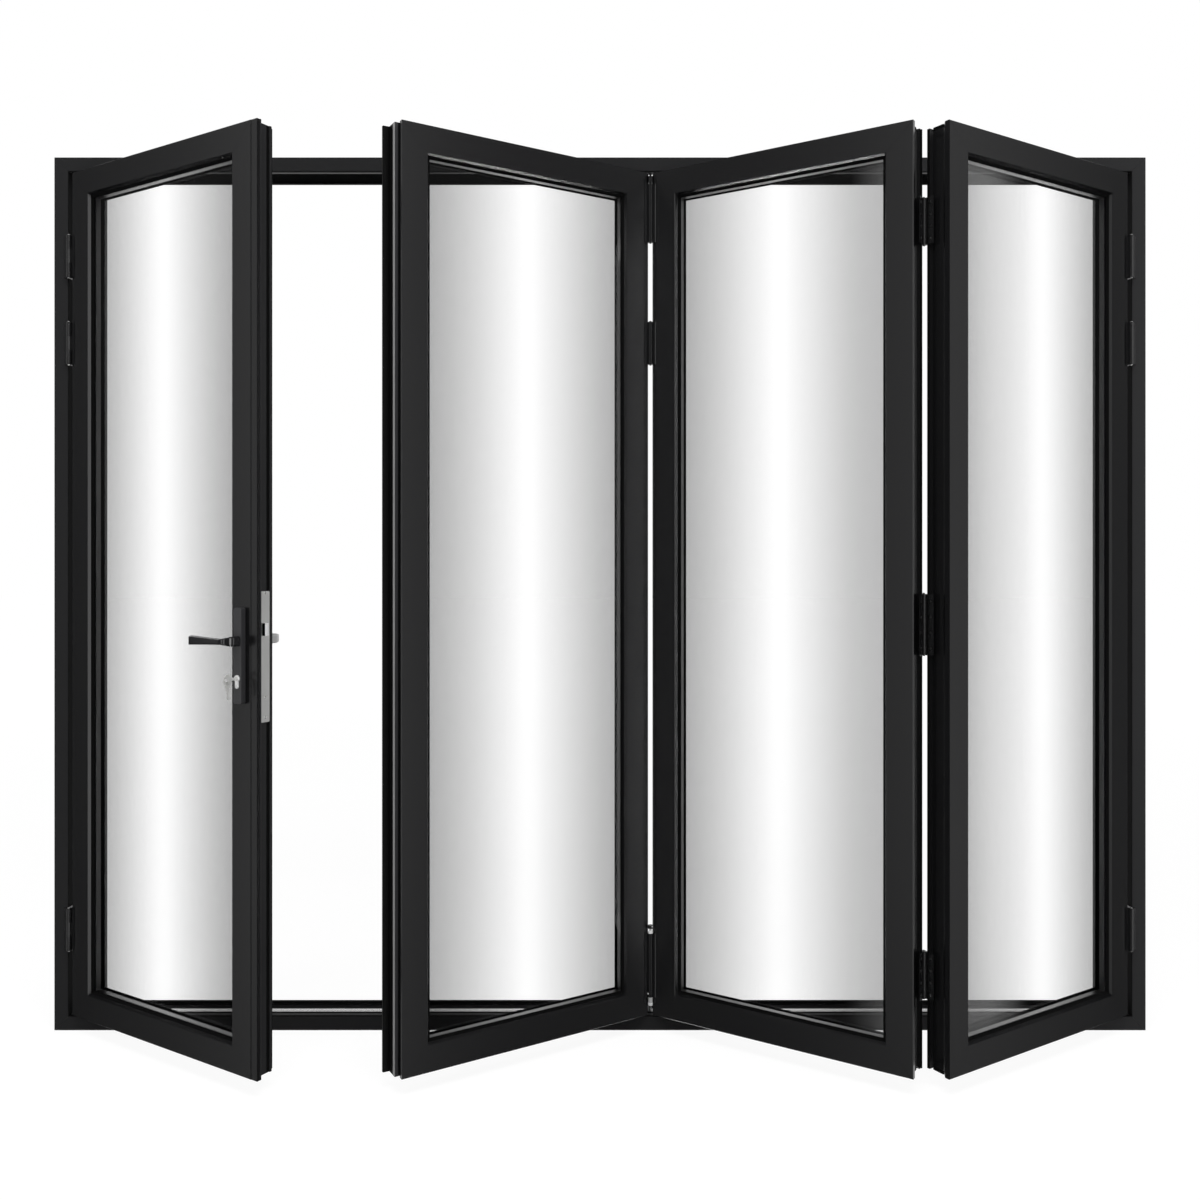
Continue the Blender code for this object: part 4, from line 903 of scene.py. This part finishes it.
steps = [
    # name, maths operation, source, second source or number
    # or name, "RAMP", source, where it starts and ends, value before and after; soft at both ends
    ("toFront", "MULTIPLY", "Y", -1.0),
    ("aside", "ABSOLUTE", "X", 0.0),
    ("asideSafe", "ADD", "aside", 0.001),
    ("slope", "DIVIDE", "toFront", "asideSafe"),
    ("onRight", "GREATER_THAN", "X", 0.0),
    ("onLeft", "LESS_THAN", "X", 0.0),
    ("steepness", "ABSOLUTE", "Z", 0.0),
    ("downward", "MULTIPLY", "Z", -1.0),
]
for name, stops, strength in studio["panels"]:
    steps += [
        (name + "In", "RAMP", "slope", *stops[:2], 0.0, 1.0),
        (name + "Out", "RAMP", "slope", *stops[2:], 1.0, 0.0),
        (name + "Band", "MULTIPLY", name + "In", name + "Out"),
        (name, "MULTIPLY", name + "Band", strength),
    ]
steps += [
    ("rightPanels", "MAXIMUM", "rightSide", "rightCorner"),
    ("leftPanels", "MAXIMUM", "leftSide", "leftCorner"),
    ("rightShown", "MULTIPLY", "rightPanels", "onRight"),
    ("leftShown", "MULTIPLY", "leftPanels", "onLeft"),
    ("allPanels", "ADD", "rightShown", "leftShown"),
    ("panelFoot", "RAMP", "Z", -0.55, -0.20, 0.45, 1.0),
    ("panelHead", "RAMP", "Z", 0.45, 0.75, 1.0, 0.4),
    ("panelHeight", "MULTIPLY", "panelFoot", "panelHead"),
    ("panels", "MULTIPLY", "allPanels", "panelHeight"),
    ("front", "RAMP", "Z", -0.40, 0.30, *studio["mirrorFront"]),
    ("backWide", "RAMP", "Y", 0.25, 0.50, 0.0, studio["mirrorBack"]),
    ("backLow", "RAMP", "steepness", 0.45, 0.60, 1.0, 0.0),
    ("back", "MULTIPLY", "backWide", "backLow"),
    ("floorGlow", "RAMP", "downward", 0.80, 0.86, 0.0, studio["mirrorSteep"]),
    ("behind", "RAMP", "Y", 0.10, 0.30, 0.0, 1.0),
    ("steep", "MULTIPLY", "floorGlow", "behind"),
    ("frontAndBack", "MAXIMUM", "front", "back"),
    ("steepAndPanels", "MAXIMUM", "steep", "panels"),
    ("seen", "MAXIMUM", "frontAndBack", "steepAndPanels"),
]
sockets = {name: parts.outputs[name] for name in "XYZ"}
for name, operation, source, *numbers in steps:
    if operation == "RAMP":
        limits = dict(zip(("From Min", "From Max", "To Min", "To Max"), numbers))
        made = addNode(tree, "ShaderNodeMapRange", settings={"interpolation_type": "SMOOTHSTEP"},
                       values=limits, links={"Value": sockets[source]})
    else:
        made = addNode(tree, "ShaderNodeMath", settings={"operation": operation}, links={0: sockets[source]})
        if numbers[0] in sockets:
            tree.links.new(sockets[numbers[0]], made.inputs[1])
        else:
            made.inputs[1].default_value = numbers[0]
    sockets[name] = made.outputs[0]
seen = sockets["seen"]
gloss = addNode(tree, "ShaderNodeBackground", values={"Color": (1, 1, 1, 1)}, links={"Strength": seen})
lit = addNode(tree, "ShaderNodeMixShader",
              links={0: rays.outputs["Is Glossy Ray"], 1: soft.outputs[0], 2: gloss.outputs[0]})
straight = addNode(tree, "ShaderNodeMath", settings={"operation": "MAXIMUM"},
                   links={0: rays.outputs["Is Camera Ray"], 1: rays.outputs["Is Transmission Ray"]})
both = addNode(tree, "ShaderNodeMixShader",
               links={0: straight.outputs[0], 1: lit.outputs[0], 2: shown.outputs[0]})
tree.links.new(both.outputs[0], tree.nodes["World Output"].inputs["Surface"])

floorMaterial, tree, shader = newMaterial("paleFloor")
tree.nodes.remove(shader)
matt = addNode(tree, "ShaderNodeBsdfDiffuse", values={"Color": linear("bcbcbc")})
shade = addNode(tree, "ShaderNodeBsdfDiffuse", values={"Color": linear("6a6a6a")})
# the floor glows a little more far from the door, where the lamps don't reach
place = addNode(tree, "ShaderNodeTexCoord")
far = addNode(tree, "ShaderNodeVectorMath", settings={"operation": "LENGTH"},
              links={0: place.outputs["Object"]})
level = addNode(tree, "ShaderNodeMapRange",
                values={"From Min": 1.5, "From Max": 8.0, "To Min": studio["floorNear"],
                        "To Max": studio["floorFar"]},
                links={"Value": far.outputs["Value"]})
glow = addNode(tree, "ShaderNodeEmission", values={"Color": (1, 1, 1, 1)},
               links={"Strength": level.outputs["Result"]})
both = addNode(tree, "ShaderNodeAddShader", links={0: shade.outputs[0], 1: glow.outputs[0]})
rays = addNode(tree, "ShaderNodeLightPath")
straight = addNode(tree, "ShaderNodeMath", settings={"operation": "MAXIMUM"},
                   links={0: rays.outputs["Is Camera Ray"], 1: rays.outputs["Is Transmission Ray"]})
clearFloor = addNode(tree, "ShaderNodeBsdfTransparent")  # shiny surfaces see the studio below the floor too
base = addNode(tree, "ShaderNodeMixShader",
               links={0: rays.outputs["Is Glossy Ray"], 1: matt.outputs[0], 2: clearFloor.outputs[0]})
mixed = addNode(tree, "ShaderNodeMixShader",
                links={0: straight.outputs[0], 1: base.outputs[0], 2: both.outputs[0]})
tree.links.new(mixed.outputs[0], tree.nodes["Material Output"].inputs["Surface"])
reach = 30.0
floorMesh = bpy.data.meshes.new("paleFloor")
floorCorners = [(-reach, -reach, 0), (reach, -reach, 0), (reach, reach, 0), (-reach, reach, 0)]
floorMesh.from_pydata(floorCorners, [], [(0, 1, 2, 3)])
floorMesh.materials.append(floorMaterial)
floor = bpy.data.objects.new("paleFloor", floorMesh)
floor.location.z = -0.0005
bpy.context.scene.collection.objects.link(floor)
bpy.context.scene.view_settings.view_transform = "Standard"
print("studio done")
